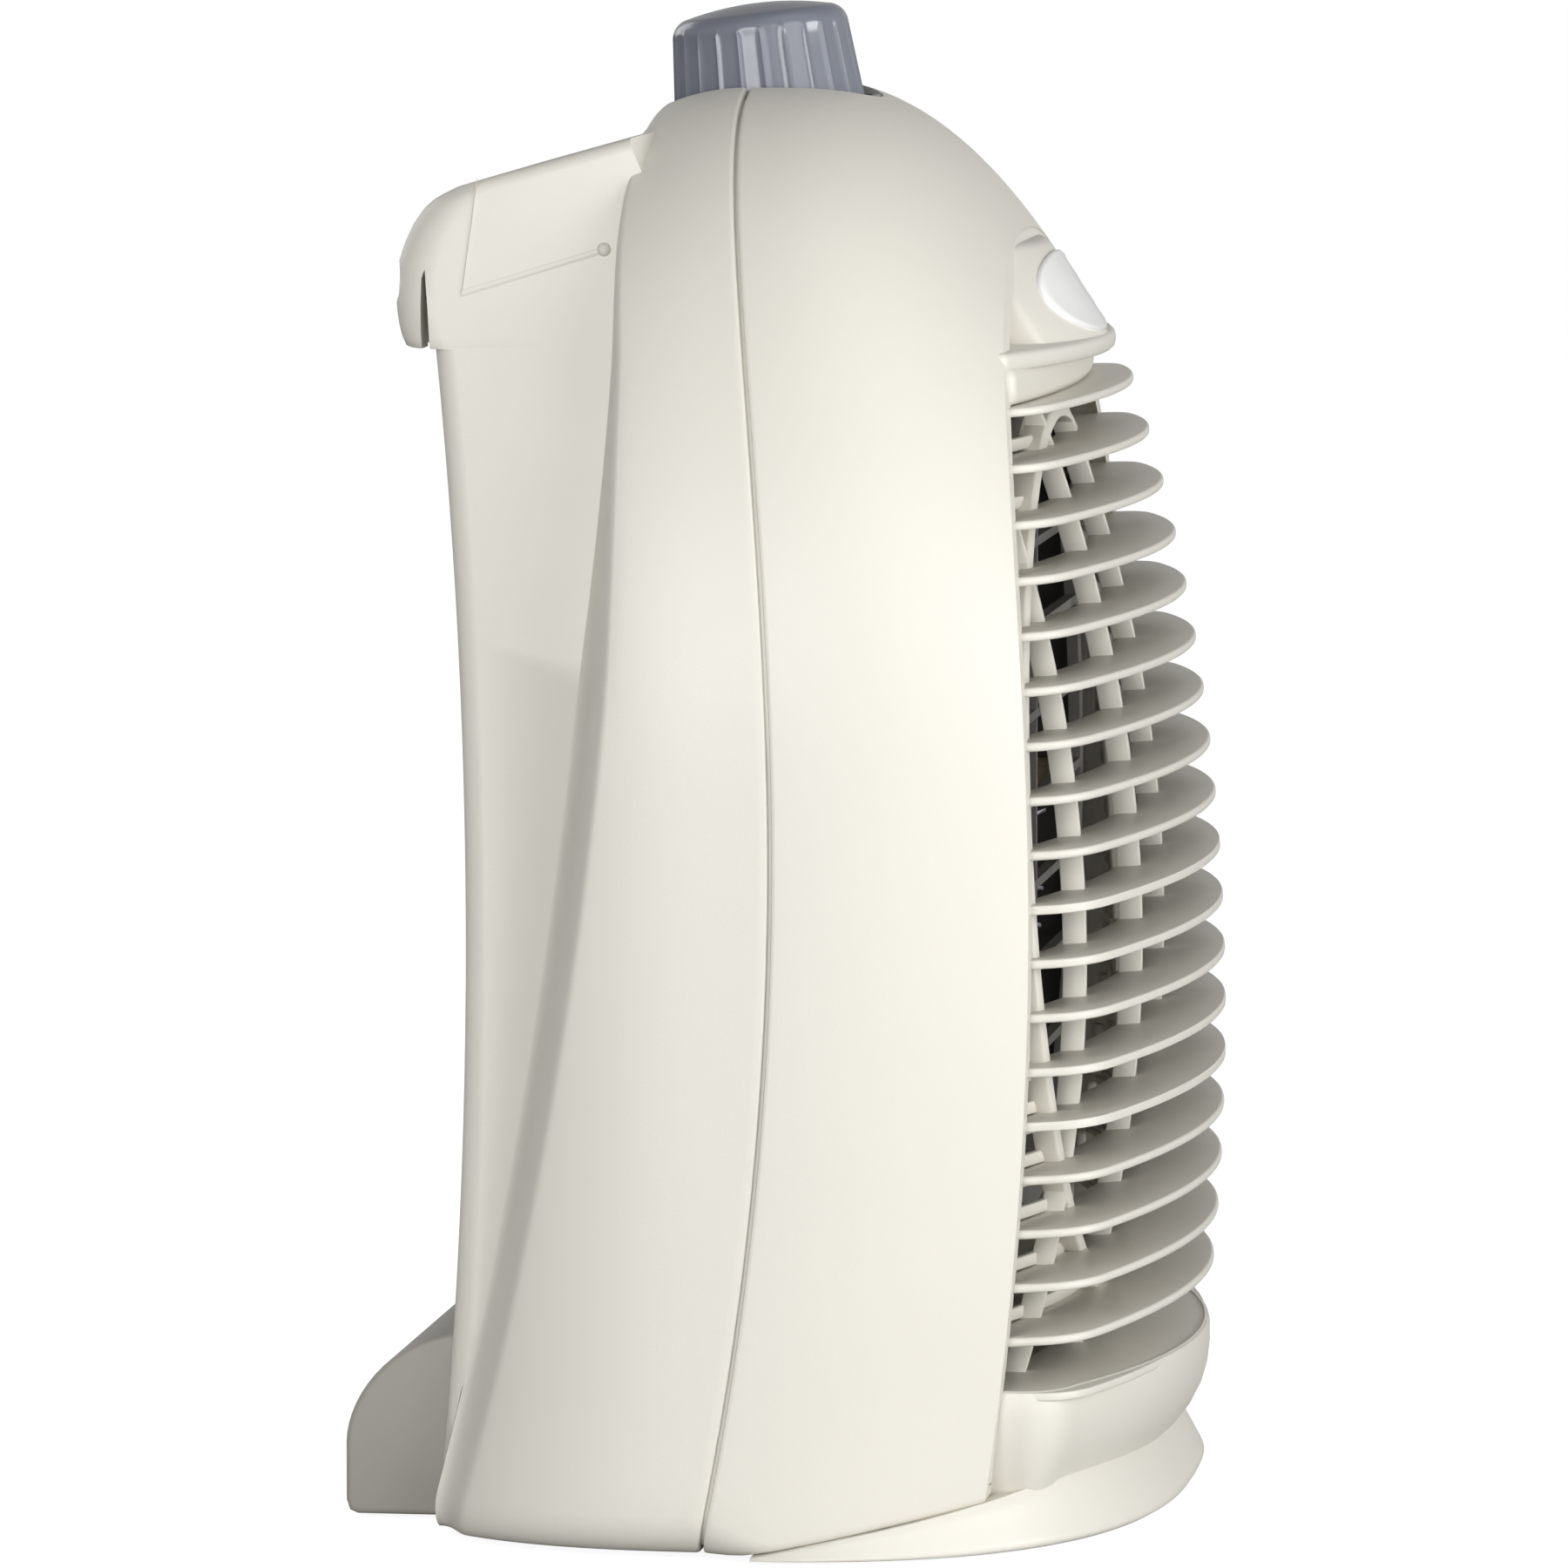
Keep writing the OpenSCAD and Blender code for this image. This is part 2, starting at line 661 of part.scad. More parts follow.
// The badge lies on the sloped face of the brow
badge_h = 208.5;
badge_lean = atan2(nose_lean_y, nose_top_h - nose_crown_h - nose_low_h - nose_chin_h);
badge_y = nose_face_y + nose_chin_set + (badge_h - nose_low_h - nose_chin_h) * tan(badge_lean);
module badge_space(lift, grow) {
  translate([0, badge_y, badge_h])
    rotate([90 - badge_lean, 0, 0])
      translate([0, 0, -badge_t / 2 + lift - badge_t / 2])
        linear_extrude(height = badge_t * 2)
          scale([badge_a + grow, badge_b + grow])
            circle(r = 1, $fn = fine);
}
module badge_plate() {
  color([0.95, 0.95, 0.94])
    translate([0, badge_y, badge_h])
      rotate([90 - badge_lean, 0, 0])
        translate([0, 0, -badge_t / 2])
          linear_extrude(height = badge_t * 1.4)
            polygon([for (a = [0:6:354]) [badge_a * cos(a), badge_b * sin(a)]]);
}

// Inner guard: a ring and cross bars that keep fingers from the heater
guard_y = -44.5;
guard_t = 2;
guard_r = 66;
guard_bars = 7;
guard_bar_pitch = 15;
guard_bar_t = 1.6;
guard_bar_seat = 0.6;
module inner_guard() {
  color([0.5, 0.49, 0.47])
    union() {
      translate([0, guard_y, axis_h])
        along_y()
          difference() {
            cylinder(r = duct_r + duct_t, h = guard_t, $fn = fine);
            translate([0, 0, -1])
              cylinder(r = guard_r, h = guard_t + 2, $fn = fine);
          }
      for (k = [0:guard_bars - 1]) {
        up = (k - (guard_bars - 1) / 2) * guard_bar_pitch;
        half = sqrt(guard_r * guard_r - up * up) + guard_bar_seat;
        box_at(-half, half, guard_y, guard_y + guard_t, axis_h + up - guard_bar_t / 2,
          axis_h + up + guard_bar_t / 2);
      }
      box_at(-guard_bar_t / 2, guard_bar_t / 2, guard_y, guard_y + guard_t,
        axis_h - guard_r - guard_bar_seat, axis_h + guard_r + guard_bar_seat);
    }
}

// Fan housing: a round duct with a spider behind the fan that carries the motor
duct_front_y = guard_y + guard_t;
spider_y = -3;
spider_t = 3;
hub_r = 29;
hub_hole_r = 9;
pillar_h = 4;
motor_screw_z = 20;
screw_small_r = 1.5;
arm_w = 7;
arm_set = 0.4;
pillar_r = 4;
ear_wall = 0.6;
module fan_housing() {
  end_y = spider_y + spider_t;
  color([0.3, 0.3, 0.31])
    difference() {
      union() {
        difference() {
          union() {
            rod_y(duct_r + duct_t, duct_front_y, end_y, 0, axis_h);
            for (p = housing_places)
              rod_y(post_r + ear_wall, spider_y, post_front_y, p[0], p[1]);
          }
          rod_y(duct_r, -cut_l, cut_l, 0, axis_h);
        }
        rod_y(hub_r, spider_y, end_y, 0, axis_h);
        for (a = [45:90:315])
          translate([0, spider_y + arm_set, axis_h])
            rotate([0, a, 0])
              translate([hub_r - 2, 0, -arm_w / 2])
                cube([duct_r + duct_t / 2 - hub_r + 2, spider_t - 2 * arm_set, arm_w]);
        for (s = [-1, 1])
          rod_y(pillar_r, spider_y, end_y + pillar_h, 0, axis_h + s * motor_screw_z);
      }
      rod_y(hub_hole_r, -cut_l, cut_l, 0, axis_h);
      for (p = housing_places)
        rod_y(screw_r + seat_gap, -cut_l, cut_l, p[0], p[1]);
      for (s = [-1, 1])
        rod_y(screw_small_r, -cut_l, cut_l, 0, axis_h + s * motor_screw_z);
    }
}

// Motor: a small induction motor on the spider's pillars
bracket_y = spider_y + spider_t + pillar_h;
bracket_t = 2;
bracket_leg = 6;
core_y = bracket_y + bracket_t + bracket_leg;
core_end_y = core_y + stack_t;
rear_bracket_y = core_end_y + bracket_leg;
bearing_r = 5;
bracket_half_w = 7;
bracket_half_h = 25;
air_gap = 0.4;
leg_r = 4.4;
bearing_lip = 2;
motor_head_r = 3;
motor_head_t = 2;
module bearing_bracket(plate_y, leg_y) {
  difference() {
    union() {
      box_at(-bracket_half_w, bracket_half_w, plate_y, plate_y + bracket_t,
        axis_h - bracket_half_h, axis_h + bracket_half_h);
      for (s = [-1, 1])
        rod_y(leg_r, leg_y, leg_y + bracket_leg, 0, axis_h + s * motor_screw_z);
    }
    rod_y(bearing_r, plate_y - 1, plate_y + bracket_t + 1, 0, axis_h);
    for (s = [-1, 1])
      rod_y(screw_small_r + seat_gap, -cut_l, cut_l, 0, axis_h + s * motor_screw_z);
  }
}
module front_bearing_bracket() {
  color(steel)
    bearing_bracket(bracket_y, bracket_y + bracket_t);
}
module rear_bearing_bracket() {
  color(steel)
    bearing_bracket(rear_bracket_y, core_end_y);
}
module bearing(plate_y) {
  color([0.62, 0.5, 0.3])
    difference() {
      rod_y(bearing_r, plate_y, plate_y + bracket_t + bearing_lip, 0, axis_h);
      rod_y(shaft_r + run_gap, -cut_l, cut_l, 0, axis_h);
    }
}
module front_bearing() {
  bearing(bracket_y);
}
module rear_bearing() {
  bearing(rear_bracket_y);
}
core_half = 26;
leg_w = 10;
window_w = 9;
window_half_h = 16;
coil_wrap = 6;
module motor_core() {
  left = -core_half - window_w - leg_w;
  color([0.35, 0.35, 0.37])
    difference() {
      box_at(left, core_half, core_y, core_end_y, axis_h - core_half, axis_h + core_half);
      box_at(left + leg_w, -core_half, core_y - 1, core_end_y + 1,
        axis_h - window_half_h, axis_h + window_half_h);
      rod_y(rotor_r + air_gap, core_y - 1, core_end_y + 1, 0, axis_h);
      for (s = [-1, 1])
        rod_y(screw_small_r + seat_gap, -cut_l, cut_l, 0, axis_h + s * motor_screw_z);
    }
}
module motor_coil() {
  left = -core_half - window_w - leg_w;
  color([0.6, 0.33, 0.16])
    difference() {
      box_at(left - coil_wrap, left + leg_w + coil_wrap, core_y - coil_wrap, core_end_y + coil_wrap,
        axis_h - window_half_h + seat_gap, axis_h + window_half_h - seat_gap);
      box_at(left - seat_gap, left + leg_w + seat_gap, core_y - seat_gap, core_end_y + seat_gap,
        axis_h - core_half, axis_h + core_half);
    }
}
module motor_rotor() {
  color([0.5, 0.5, 0.52])
    difference() {
      rod_y(rotor_r, core_y, core_end_y, 0, axis_h);
      rod_y(shaft_r, core_y - 1, core_end_y + 1, 0, axis_h);
    }
}
fan_y = -9;
fan_hub_r = 16;
fan_hub_t = 14;
nut_r = 4.6;
nut_t = 3.5;
shaft_tip = 1;
shaft_front_y = fan_y - fan_hub_t - nut_t - shaft_tip;
shaft_end_y = rear_bracket_y + bracket_t + bearing_lip + shaft_tip;
module motor_shaft() {
  color(steel)
    rod_y(shaft_r, shaft_front_y, shaft_end_y, 0, axis_h);
}
module motor_screws() {
  color(steel)
    for (s = [-1, 1]) {
      rod_y(screw_small_r, spider_y + 1, rear_bracket_y + bracket_t, 0, axis_h + s * motor_screw_z);
      rod_y(motor_head_r, rear_bracket_y + bracket_t, rear_bracket_y + bracket_t + motor_head_t, 0,
        axis_h + s * motor_screw_z);
    }
}

// Impeller: flat pitched blades on a hub
module fan_impeller() {
  blade_w = 30;
  blade_t = 1.4;
  pitch = 33;
  color([0.82, 0.82, 0.8])
    difference() {
      union() {
        rod_y(fan_hub_r, fan_y - fan_hub_t, fan_y, 0, axis_h);
        intersection() {
          for (i = [0:blades - 1])
            translate([0, fan_y - fan_hub_t / 2, axis_h])
              rotate([0, i * 360 / blades, 0])
                rotate([pitch, 0, 0])
                  translate([fan_hub_r - 3, -blade_t / 2, -blade_w / 2])
                    cube([fan_r, blade_t, blade_w]);
          rod_y(fan_r, fan_y - fan_hub_t, fan_y, 0, axis_h);
        }
      }
      rod_y(shaft_r, -cut_l, cut_l, 0, axis_h);
    }
}
module spinner_nut() {
  y0 = fan_y - fan_hub_t;
  color(steel)
    difference() {
      translate([0, y0 - nut_t, axis_h])
        along_y()
          cylinder(r = nut_r, h = nut_t, $fn = 6);
      rod_y(shaft_r, -cut_l, cut_l, 0, axis_h);
    }
}

// Heater: two crossed mica cards hold two rings of coiled wire in the duct
mica_gap = 0.2;
mica_y = guard_y + guard_t + mica_gap;
coil_y = mica_y + mica_depth / 2;
card_r = duct_r - seat_gap;
coil_hole_gap = 0.5;
coil_hole_r = curl_r + wire_r + coil_hole_gap;
cutout_r = 5;
cutout_t = 4;
fuse_r = 1.5;
fuse_l = 8;
fuse_y = 3;
fuse_h = 12;
module heater_frame() {
  color([0.72, 0.66, 0.5])
    difference() {
      intersection() {
        union() {
          box_at(-card_r, card_r, mica_y, mica_y + mica_depth, axis_h - mica_t / 2, axis_h + mica_t / 2);
          box_at(-mica_t / 2, mica_t / 2, mica_y, mica_y + mica_depth, axis_h - card_r, axis_h + card_r);
        }
        rod_y(card_r, mica_y - 1, mica_y + mica_depth + 1, 0, axis_h);
      }
      for (r = [outer_ring_r, inner_ring_r], s = [-1, 1]) {
        translate([s * r, coil_y, axis_h])
          cylinder(r = coil_hole_r, h = 10 * mica_t, center = true, $fn = fine);
        translate([0, coil_y, axis_h + s * r])
          rotate([0, 90, 0])
            cylinder(r = coil_hole_r, h = 10 * mica_t, center = true, $fn = fine);
      }
    }
}
// Coil: one unbroken tube whose curls follow a ring that stays open at its terminals
rings_per_curl = 8;
wire_sides = 6;
ring_open = 14;
ring_start = 8;
function coil_point(r, curls, k) = let (
  share = k / (curls * rings_per_curl),
  g = ring_start + (360 - ring_open) * share,
  c = 360 * k / rings_per_curl,
  d = r + curl_r * cos(c))
  [d * cos(g), coil_y + curl_r * sin(c), axis_h + d * sin(g)];
function unit(v) = v / norm(v);
module coiled_wire(r, curls) {
  n = curls * rings_per_curl;
  path = [for (k = [0:n]) coil_point(r, curls, k)];
  pts = [for (k = [0:n]) let (
    ahead = unit(path[min(n, k + 1)] - path[max(0, k - 1)]),
    g = ring_start + (360 - ring_open) * k / n,
    mid = [r * cos(g), coil_y, axis_h + r * sin(g)],
    side = unit(cross(ahead, path[k] - mid)),
    up = cross(side, ahead))
    each [for (j = [0:wire_sides - 1]) let (a = 360 * j / wire_sides)
      path[k] + wire_r * (cos(a) * side + sin(a) * up)]];
  faces = concat(
    [[for (j = [0:wire_sides - 1]) wire_sides - 1 - j]],
    [for (k = [0:n - 1], j = [0:wire_sides - 1]) let (
      a = k * wire_sides + j, b = k * wire_sides + (j + 1) % wire_sides)
      each [[a, b, b + wire_sides], [a, b + wire_sides, a + wire_sides]]],
    [[for (j = [0:wire_sides - 1]) n * wire_sides + j]]);
  polyhedron(pts, faces, convexity = 10);
}
// Least clear distance of a coil to itself, measured between the points of its path
function coil_gap(r, curls) = let (n = curls * rings_per_curl,
  path = [for (k = [0:n]) coil_point(r, curls, k)])
  min(concat([norm(path[n] - path[0])],
    [for (k = [0:n - 3], j = [k + 3:min(n, k + 2 * rings_per_curl)]) norm(path[j] - path[k])]))
    - 2 * wire_r;
echo(least_gap_outer_coil = coil_gap(outer_ring_r, outer_curls));
echo(least_gap_inner_coil = coil_gap(inner_ring_r, inner_curls));
module outer_heating_coil() {
  color([0.75, 0.75, 0.78])
    coiled_wire(outer_ring_r, outer_curls);
}
module inner_heating_coil() {
  color([0.75, 0.75, 0.78])
    coiled_wire(inner_ring_r, inner_curls);
}
module thermal_cutout() {
  color([0.2, 0.2, 0.2])
    rod_y(cutout_r, mica_y + mica_depth, mica_y + mica_depth + cutout_t, 0,
      axis_h + (inner_ring_r + outer_ring_r) / 2);
}
module thermal_fuse() {
  color([0.85, 0.8, 0.7])
    translate([mica_t / 2 + fuse_r + seat_gap, mica_y + fuse_y, axis_h + fuse_h])
      cylinder(r = fuse_r, h = fuse_l, $fn = fine);
}

module rear_grille() {
  slats = 15;
  slat_h = 2.8;
  mullion_w = 2.4;
  frame_w = 4;
  y0 = box_y - grille_t / 2;
  gap = seat_gap;
  half = grille_half_w - gap;
  low = grille_low_h + gap;
  high = grille_high_h - gap;
  step = (high - low - 2 * frame_w) / slats;
  color([0.55, 0.54, 0.51])
    union() {
      difference() {
        box_at(-half, half, y0, y0 + grille_t, low, high);
        box_at(-half + frame_w, half - frame_w, y0 - 1, y0 + grille_t + 1,
          low + frame_w, high - frame_w);
      }
      for (k = [1:slats - 1])
        box_at(-half + 1, half - 1, y0, y0 + grille_t, low + frame_w + k * step - slat_h / 2,
          low + frame_w + k * step + slat_h / 2);
      box_at(-mullion_w / 2, mullion_w / 2, y0, y0 + grille_t, low + 1, high - 1);
    }
}

// Rear foot: a hollow quarter-round step behind the body
foot_half_w = 56;
foot_top_h = 33;
foot_bottom_h = 0.6;
module foot_profile(inset) {
  steps = 8;
  low = 14;
  y0 = rear_wall_at(foot_top_h) + seat_gap + inset;
  a = foot_back_y - y0 - inset;
  b = foot_top_h - low - inset;
  polygon(concat(
    [for (k = [steps:-1:0]) let (z = lerp(foot_bottom_h + inset, foot_top_h - inset, k / steps))
      [rear_wall_at(z) + seat_gap + inset, z]],
    [[foot_back_y - inset, foot_bottom_h + inset]],
    [for (k = [0:steps - 1]) [y0 + a * cos(90 * k / steps), low + b * sin(90 * k / steps)]]));
}
module rear_foot() {
  color([0.6, 0.58, 0.54])
    difference() {
      translate([-foot_half_w, 0, 0])
        rotate([90, 0, 90])
          linear_extrude(height = 2 * foot_half_w)
            foot_profile(0);
      translate([-foot_half_w + wall, 0, 0])
        rotate([90, 0, 90])
          linear_extrude(height = 2 * foot_half_w - 2 * wall)
            foot_profile(wall);
    }
}

// Base plate: a boxy oval wedge under the front of the body
base_bottom_h = 0.7;
module oval_plan(a, b) {
  steps = 48;
  polygon([for (k = [0:steps]) let (g = 180 + 180 * k / steps)
    [a * (cos(g) < 0 ? -1 : 1) * pow(abs(cos(g)), 2 / plan_n),
      -b * pow(abs(sin(g)), 2 / plan_n)]]);
}
module base_profile(rear) {
  crest = -base_start - base_rise / base_slope;
  polygon([[rear, -cut_l], [rear, 0], [-base_start, 0], [crest, base_rise], [-cut_l, base_rise],
    [-cut_l, -cut_l]]);
}
module base_wedge() {
  intersection() {
    translate([0, 0, base_bottom_h])
      linear_extrude(height = 2 * base_rise)
        oval_plan(half_w, base_b);
    translate([-cut_l, 0, foot_h - seat_gap])
      rotate([90, 0, 90])
        linear_extrude(height = 2 * cut_l)
          base_profile(-base_start - 3);
  }
}
feet_front = [[-56, -46], [56, -46]];
feet_rear = [[-48, 34], [48, 34]];
foot_pad_r = 7;
base_screw_x = 30;
base_screw_y = -30;
base_head_h = 3.6;
base_boss_h = 9;
base_screw_end = base_at(base_screw_y) + wall / 2 + base_boss_h - 1.5;
module base_plate() {
  color(cream)
    difference() {
      base_wedge();
      for (p = feet_front)
        translate([p[0], p[1], 0])
          cylinder(r = foot_pad_r + seat_gap, h = foot_h, $fn = fine);
      for (s = [-1, 1])
        translate([s * base_screw_x, base_screw_y, 0]) {
          cylinder(r = screw_r + seat_gap, h = cut_l, $fn = fine);
          cylinder(r = head_r + seat_gap, h = base_head_h, $fn = fine);
        }
    }
}
module rubber_feet() {
  color([0.15, 0.15, 0.15])
    union() {
      for (p = concat(feet_front, feet_rear))
        translate([p[0], p[1], 0])
          cylinder(r = foot_pad_r, h = foot_h, $fn = fine);
    }
}

// Control: cup, knob, spindle, nut and switch share one leaning axis
cup_floor_t = 2;
knob_base = cup_floor_t + 1.2;
cup_h = 8.5;
cup_rim_h = 241.3;
cup_rim_lean = 3.5;
cup_back_y = 19;
cup_back_h = 239.3;
cup_back_lean = 45;
module dial_cup() {
  color(grey_blue)
    difference() {
      control_frame()
        difference() {
          cylinder(r = cup_r + cup_t, h = cup_h, $fn = fine);
          translate([0, 0, cup_floor_t])
            cylinder(r = cup_r, h = cup_h, $fn = fine);
          translate([0, 0, -1])
            cylinder(r = thread_r + run_gap, h = 10, $fn = fine);
        }
      // The rim is cut along the crown, just below its surface
      translate([0, knob_y, cup_rim_h])
        rotate([-cup_rim_lean, 0, 0])
          cylinder(r = 2 * cup_r, h = cup_h, $fn = fine);
      translate([0, cup_back_y, cup_back_h])
        rotate([-cup_back_lean, 0, 0])
          translate([0, 0, cup_h / 2])
            cube([4 * cup_r, 4 * cup_r, cup_h], center = true);
    }
}
thread_r = 4.8;
knob_wall = 2;
spindle_top = knob_base + knob_h - 5;
module control_knob() {
  flute_r = 1.3;
  dome = 5;
  draft = atan2(knob_r - knob_top_r, knob_h - dome);
  color(grey_blue)
    control_frame()
      translate([0, 0, knob_base])
        difference() {
          rotate_extrude($fn = fine)
            polygon(concat([[0, 0], [knob_r, 0], [knob_top_r, knob_h - dome]],
              [for (k = [1:6]) [knob_top_r - dome * (1 - cos(15 * k)), knob_h - dome + dome * sin(15 * k)]],
              [[0, knob_h]]));
          for (i = [0:flutes - 1])
            rotate([0, 0, i * 360 / flutes])
              translate([knob_r + 0.5, 0, -1])
                rotate([0, -draft, 0])
                  cylinder(r = flute_r, h = knob_h - 2, $fn = 24);
          translate([0, 0, -1])
            difference() {
              cylinder(r = knob_top_r - flute_r - knob_wall, h = knob_h - dome, $fn = fine);
              cylinder(r = thread_r + 2.2, h = 3 * knob_h, $fn = fine);
            }
          translate([0, 0, -1])
            cylinder(r = spindle_r, h = spindle_top - knob_base + 1, $fn = fine);
          translate([0, 0, -1])
            cylinder(r = thread_r + 3.2, h = 6, $fn = fine);
        }
}
switch_h = 14;
switch_half = 14;
nut_wall = 2.6;
nut_h = 2;
tab_w = 4.8;
tab_t = 0.8;
tab_reach = 6;
tab_x = 9;
tab_pitch = 8;
module switch_spindle() {
  color(steel)
    control_frame()
      translate([0, 0, -switch_h / 2])
        cylinder(r = spindle_r, h = spindle_top + switch_h / 2, $fn = fine);
}
module rotary_switch() {
  color([0.85, 0.84, 0.78])
    control_frame()
      difference() {
        union() {
          translate([-switch_half, -switch_half, -switch_h])
            cube([2 * switch_half, 2 * switch_half, switch_h]);
          cylinder(r = thread_r, h = cup_floor_t + 3, $fn = fine);
          for (s = [-1, 1], k = [-1, 0, 1])
            translate([s * tab_x - tab_w / 2, tab_pitch * k - tab_t / 2, -switch_h - tab_reach])
              cube([tab_w, tab_t, tab_reach + 1]);
        }
        translate([0, 0, -switch_h / 2 - 0.5])
          cylinder(r = spindle_r + run_gap, h = cut_l, $fn = fine);
      }
}
module switch_nut() {
  color(steel)
    control_frame()
      translate([0, 0, cup_floor_t])
        difference() {
          cylinder(r = thread_r + nut_wall, h = nut_h, $fn = 6);
          translate([0, 0, -1])
            cylinder(r = thread_r, h = nut_h + 2, $fn = fine);
        }
}

// Terminal block: three ways, each with a wire hole and a screw well over it
block_half_w = 16;
block_y = 20;
block_depth = 16;
block_h = 15;
way_pitch = 10;
way_r = 2.2;
way_h = 7;
well_r = 2.4;
module terminal_block() {
  low = foot_h + wall;
  color([0.93, 0.92, 0.88])
    difference() {
      box_at(-block_half_w, block_half_w, block_y, block_y + block_depth, low, low + block_h);
      for (k = [-1, 0, 1])
        rod_y(way_r, -cut_l, cut_l, k * way_pitch, low + way_h);
      for (k = [-1, 0, 1])
        translate([k * way_pitch, block_y + block_depth / 2, low + way_h + 1])
          cylinder(r = well_r, h = block_h, $fn = fine);
    }
}
module inlet_bush() {
  color([0.2, 0.2, 0.2])
    difference() {
      union() {
        rod_y(bush_r, inlet_wall_y - wall - 4, bush_seat_y, inlet_x, inlet_h);
        rod_y(bush_flange_r, bush_seat_y, bush_seat_y + bush_flange_t, inlet_x, inlet_h);
      }
      rod_y(cord_hole_r, -cut_l, cut_l, inlet_x, inlet_h);
    }
}

module case_screws() {
  color(steel)
    for (p = case_places) {
      rod_y(screw_r, seam_at(p[1]) - shank_reach, head_seat_y, p[0], p[1]);
      rod_y(head_r, head_seat_y, head_seat_y + head_h, p[0], p[1]);
    }
}
module housing_screws() {
  color(steel)
    for (p = housing_places) {
      rod_y(screw_r, spider_y, post_front_y + shank_reach - 2, p[0], p[1]);
      rod_y(head_r, spider_y - head_h, spider_y, p[0], p[1]);
    }
}
module base_screws() {
  color(steel)
    for (s = [-1, 1])
      translate([s * base_screw_x, base_screw_y, 0]) {
        translate([0, 0, base_head_h - head_h])
          cylinder(r = head_r, h = head_h, $fn = fine);
        translate([0, 0, base_head_h])
          cylinder(r = screw_r, h = base_screw_end - base_head_h - 0.5, $fn = fine);
      }
}

placed() rear_shell();
placed() front_shell();
placed() front_louvre();
placed() inner_guard();
placed() badge_plate();
placed() rear_grille();
placed() rear_foot();
placed() base_plate();
placed() rubber_feet();
placed() dial_cup();
placed() control_knob();
placed() switch_spindle();
placed() rotary_switch();
placed() switch_nut();
placed() fan_impeller();
placed() spinner_nut();
placed() motor_shaft();
placed() motor_rotor();
placed() motor_core();
placed() motor_coil();
placed() front_bearing_bracket();
placed() rear_bearing_bracket();
placed() front_bearing();
placed() rear_bearing();
placed() motor_screws();
placed() fan_housing();
placed() housing_screws();
placed() heater_frame();
placed() outer_heating_coil();
placed() inner_heating_coil();
placed() thermal_cutout();
placed() thermal_fuse();
placed() terminal_block();
placed() inlet_bush();
placed() case_screws();
placed() base_screws();
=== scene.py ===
import json
import math

import bmesh
import bpy
from mathutils import Matrix, Vector


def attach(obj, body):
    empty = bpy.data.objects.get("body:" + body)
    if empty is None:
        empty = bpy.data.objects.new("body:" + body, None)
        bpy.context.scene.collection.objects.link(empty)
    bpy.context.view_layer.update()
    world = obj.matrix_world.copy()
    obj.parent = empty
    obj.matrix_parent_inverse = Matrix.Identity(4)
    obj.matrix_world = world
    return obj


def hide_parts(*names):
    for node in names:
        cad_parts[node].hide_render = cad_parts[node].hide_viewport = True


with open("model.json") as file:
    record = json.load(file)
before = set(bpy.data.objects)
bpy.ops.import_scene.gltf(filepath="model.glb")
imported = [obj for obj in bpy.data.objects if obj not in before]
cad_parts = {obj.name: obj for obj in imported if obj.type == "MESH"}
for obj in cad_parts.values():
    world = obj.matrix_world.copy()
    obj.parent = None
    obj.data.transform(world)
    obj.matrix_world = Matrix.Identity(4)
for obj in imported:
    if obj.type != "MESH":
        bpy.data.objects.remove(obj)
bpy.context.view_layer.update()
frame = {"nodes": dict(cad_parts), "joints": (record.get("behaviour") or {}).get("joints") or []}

# Camera: a long lens at the height of a table top, looking at the heater's left side from a
# little in front of it. The heater's own depth axis is shifted so that its box is centred.
mm = 0.001
fan_joint = next(j for j in frame["joints"] if j["name"] == "fan_spin")
body_y = fan_joint["pos_m"][1] / mm
camera_turn = math.radians(8)
camera_far = 2000
camera_h = 325
aim_h = 122
camera_data = bpy.data.cameras.new("camera")
camera_data.sensor_width = 36
camera_data.lens = 264
camera = bpy.data.objects.new("camera", camera_data)
bpy.context.scene.collection.objects.link(camera)
camera.location = (-camera_far * math.cos(camera_turn) * mm,
                   (body_y - camera_far * math.sin(camera_turn)) * mm, camera_h * mm)
aim = Vector((0, body_y, aim_h)) * mm
camera.rotation_euler = (aim - camera.location).to_track_quat("-Z", "Y").to_euler()
bpy.context.scene.camera = camera
bpy.context.scene.view_settings.view_transform = "Standard"

# Room: a pale floor that keeps the heater's soft shadow, a surround that is brightest at the
# horizon, and five soft lamps in front, at the left side, over the top and behind.
room_size = 24
floor_grey = 0.42
floor_glow_level = 0.9
horizon_light = 0.54
zenith_light = 0.14


def clear_selection():
    """Leaves nothing selected and no object in edit mode."""
    bpy.ops.object.select_all(action="DESELECT")


clear_selection()
bpy.ops.mesh.primitive_plane_add(size=room_size, location=(0, 0, -0.0002))
floor = bpy.context.object
floor.name = "floor"
floor_paint = bpy.data.materials.new("floor_paint")
floor_paint.use_nodes = True
tree = floor_paint.node_tree
tree.nodes.clear()
floor_out = tree.nodes.new("ShaderNodeOutputMaterial")
floor_sum = tree.nodes.new("ShaderNodeAddShader")
floor_matt = tree.nodes.new("ShaderNodeBsdfDiffuse")
floor_matt.inputs["Color"].default_value = (floor_grey, floor_grey, floor_grey, 1)
floor_glow = tree.nodes.new("ShaderNodeEmission")
floor_ray = tree.nodes.new("ShaderNodeLightPath")
floor_seen = tree.nodes.new("ShaderNodeMath")
floor_seen.operation = "MULTIPLY"
floor_seen.inputs[1].default_value = floor_glow_level
tree.links.new(floor_ray.outputs["Is Camera Ray"], floor_seen.inputs[0])
tree.links.new(floor_seen.outputs[0], floor_glow.inputs["Strength"])
tree.links.new(floor_matt.outputs[0], floor_sum.inputs[0])
tree.links.new(floor_glow.outputs[0], floor_sum.inputs[1])
tree.links.new(floor_sum.outputs[0], floor_out.inputs["Surface"])
floor.data.materials.append(floor_paint)

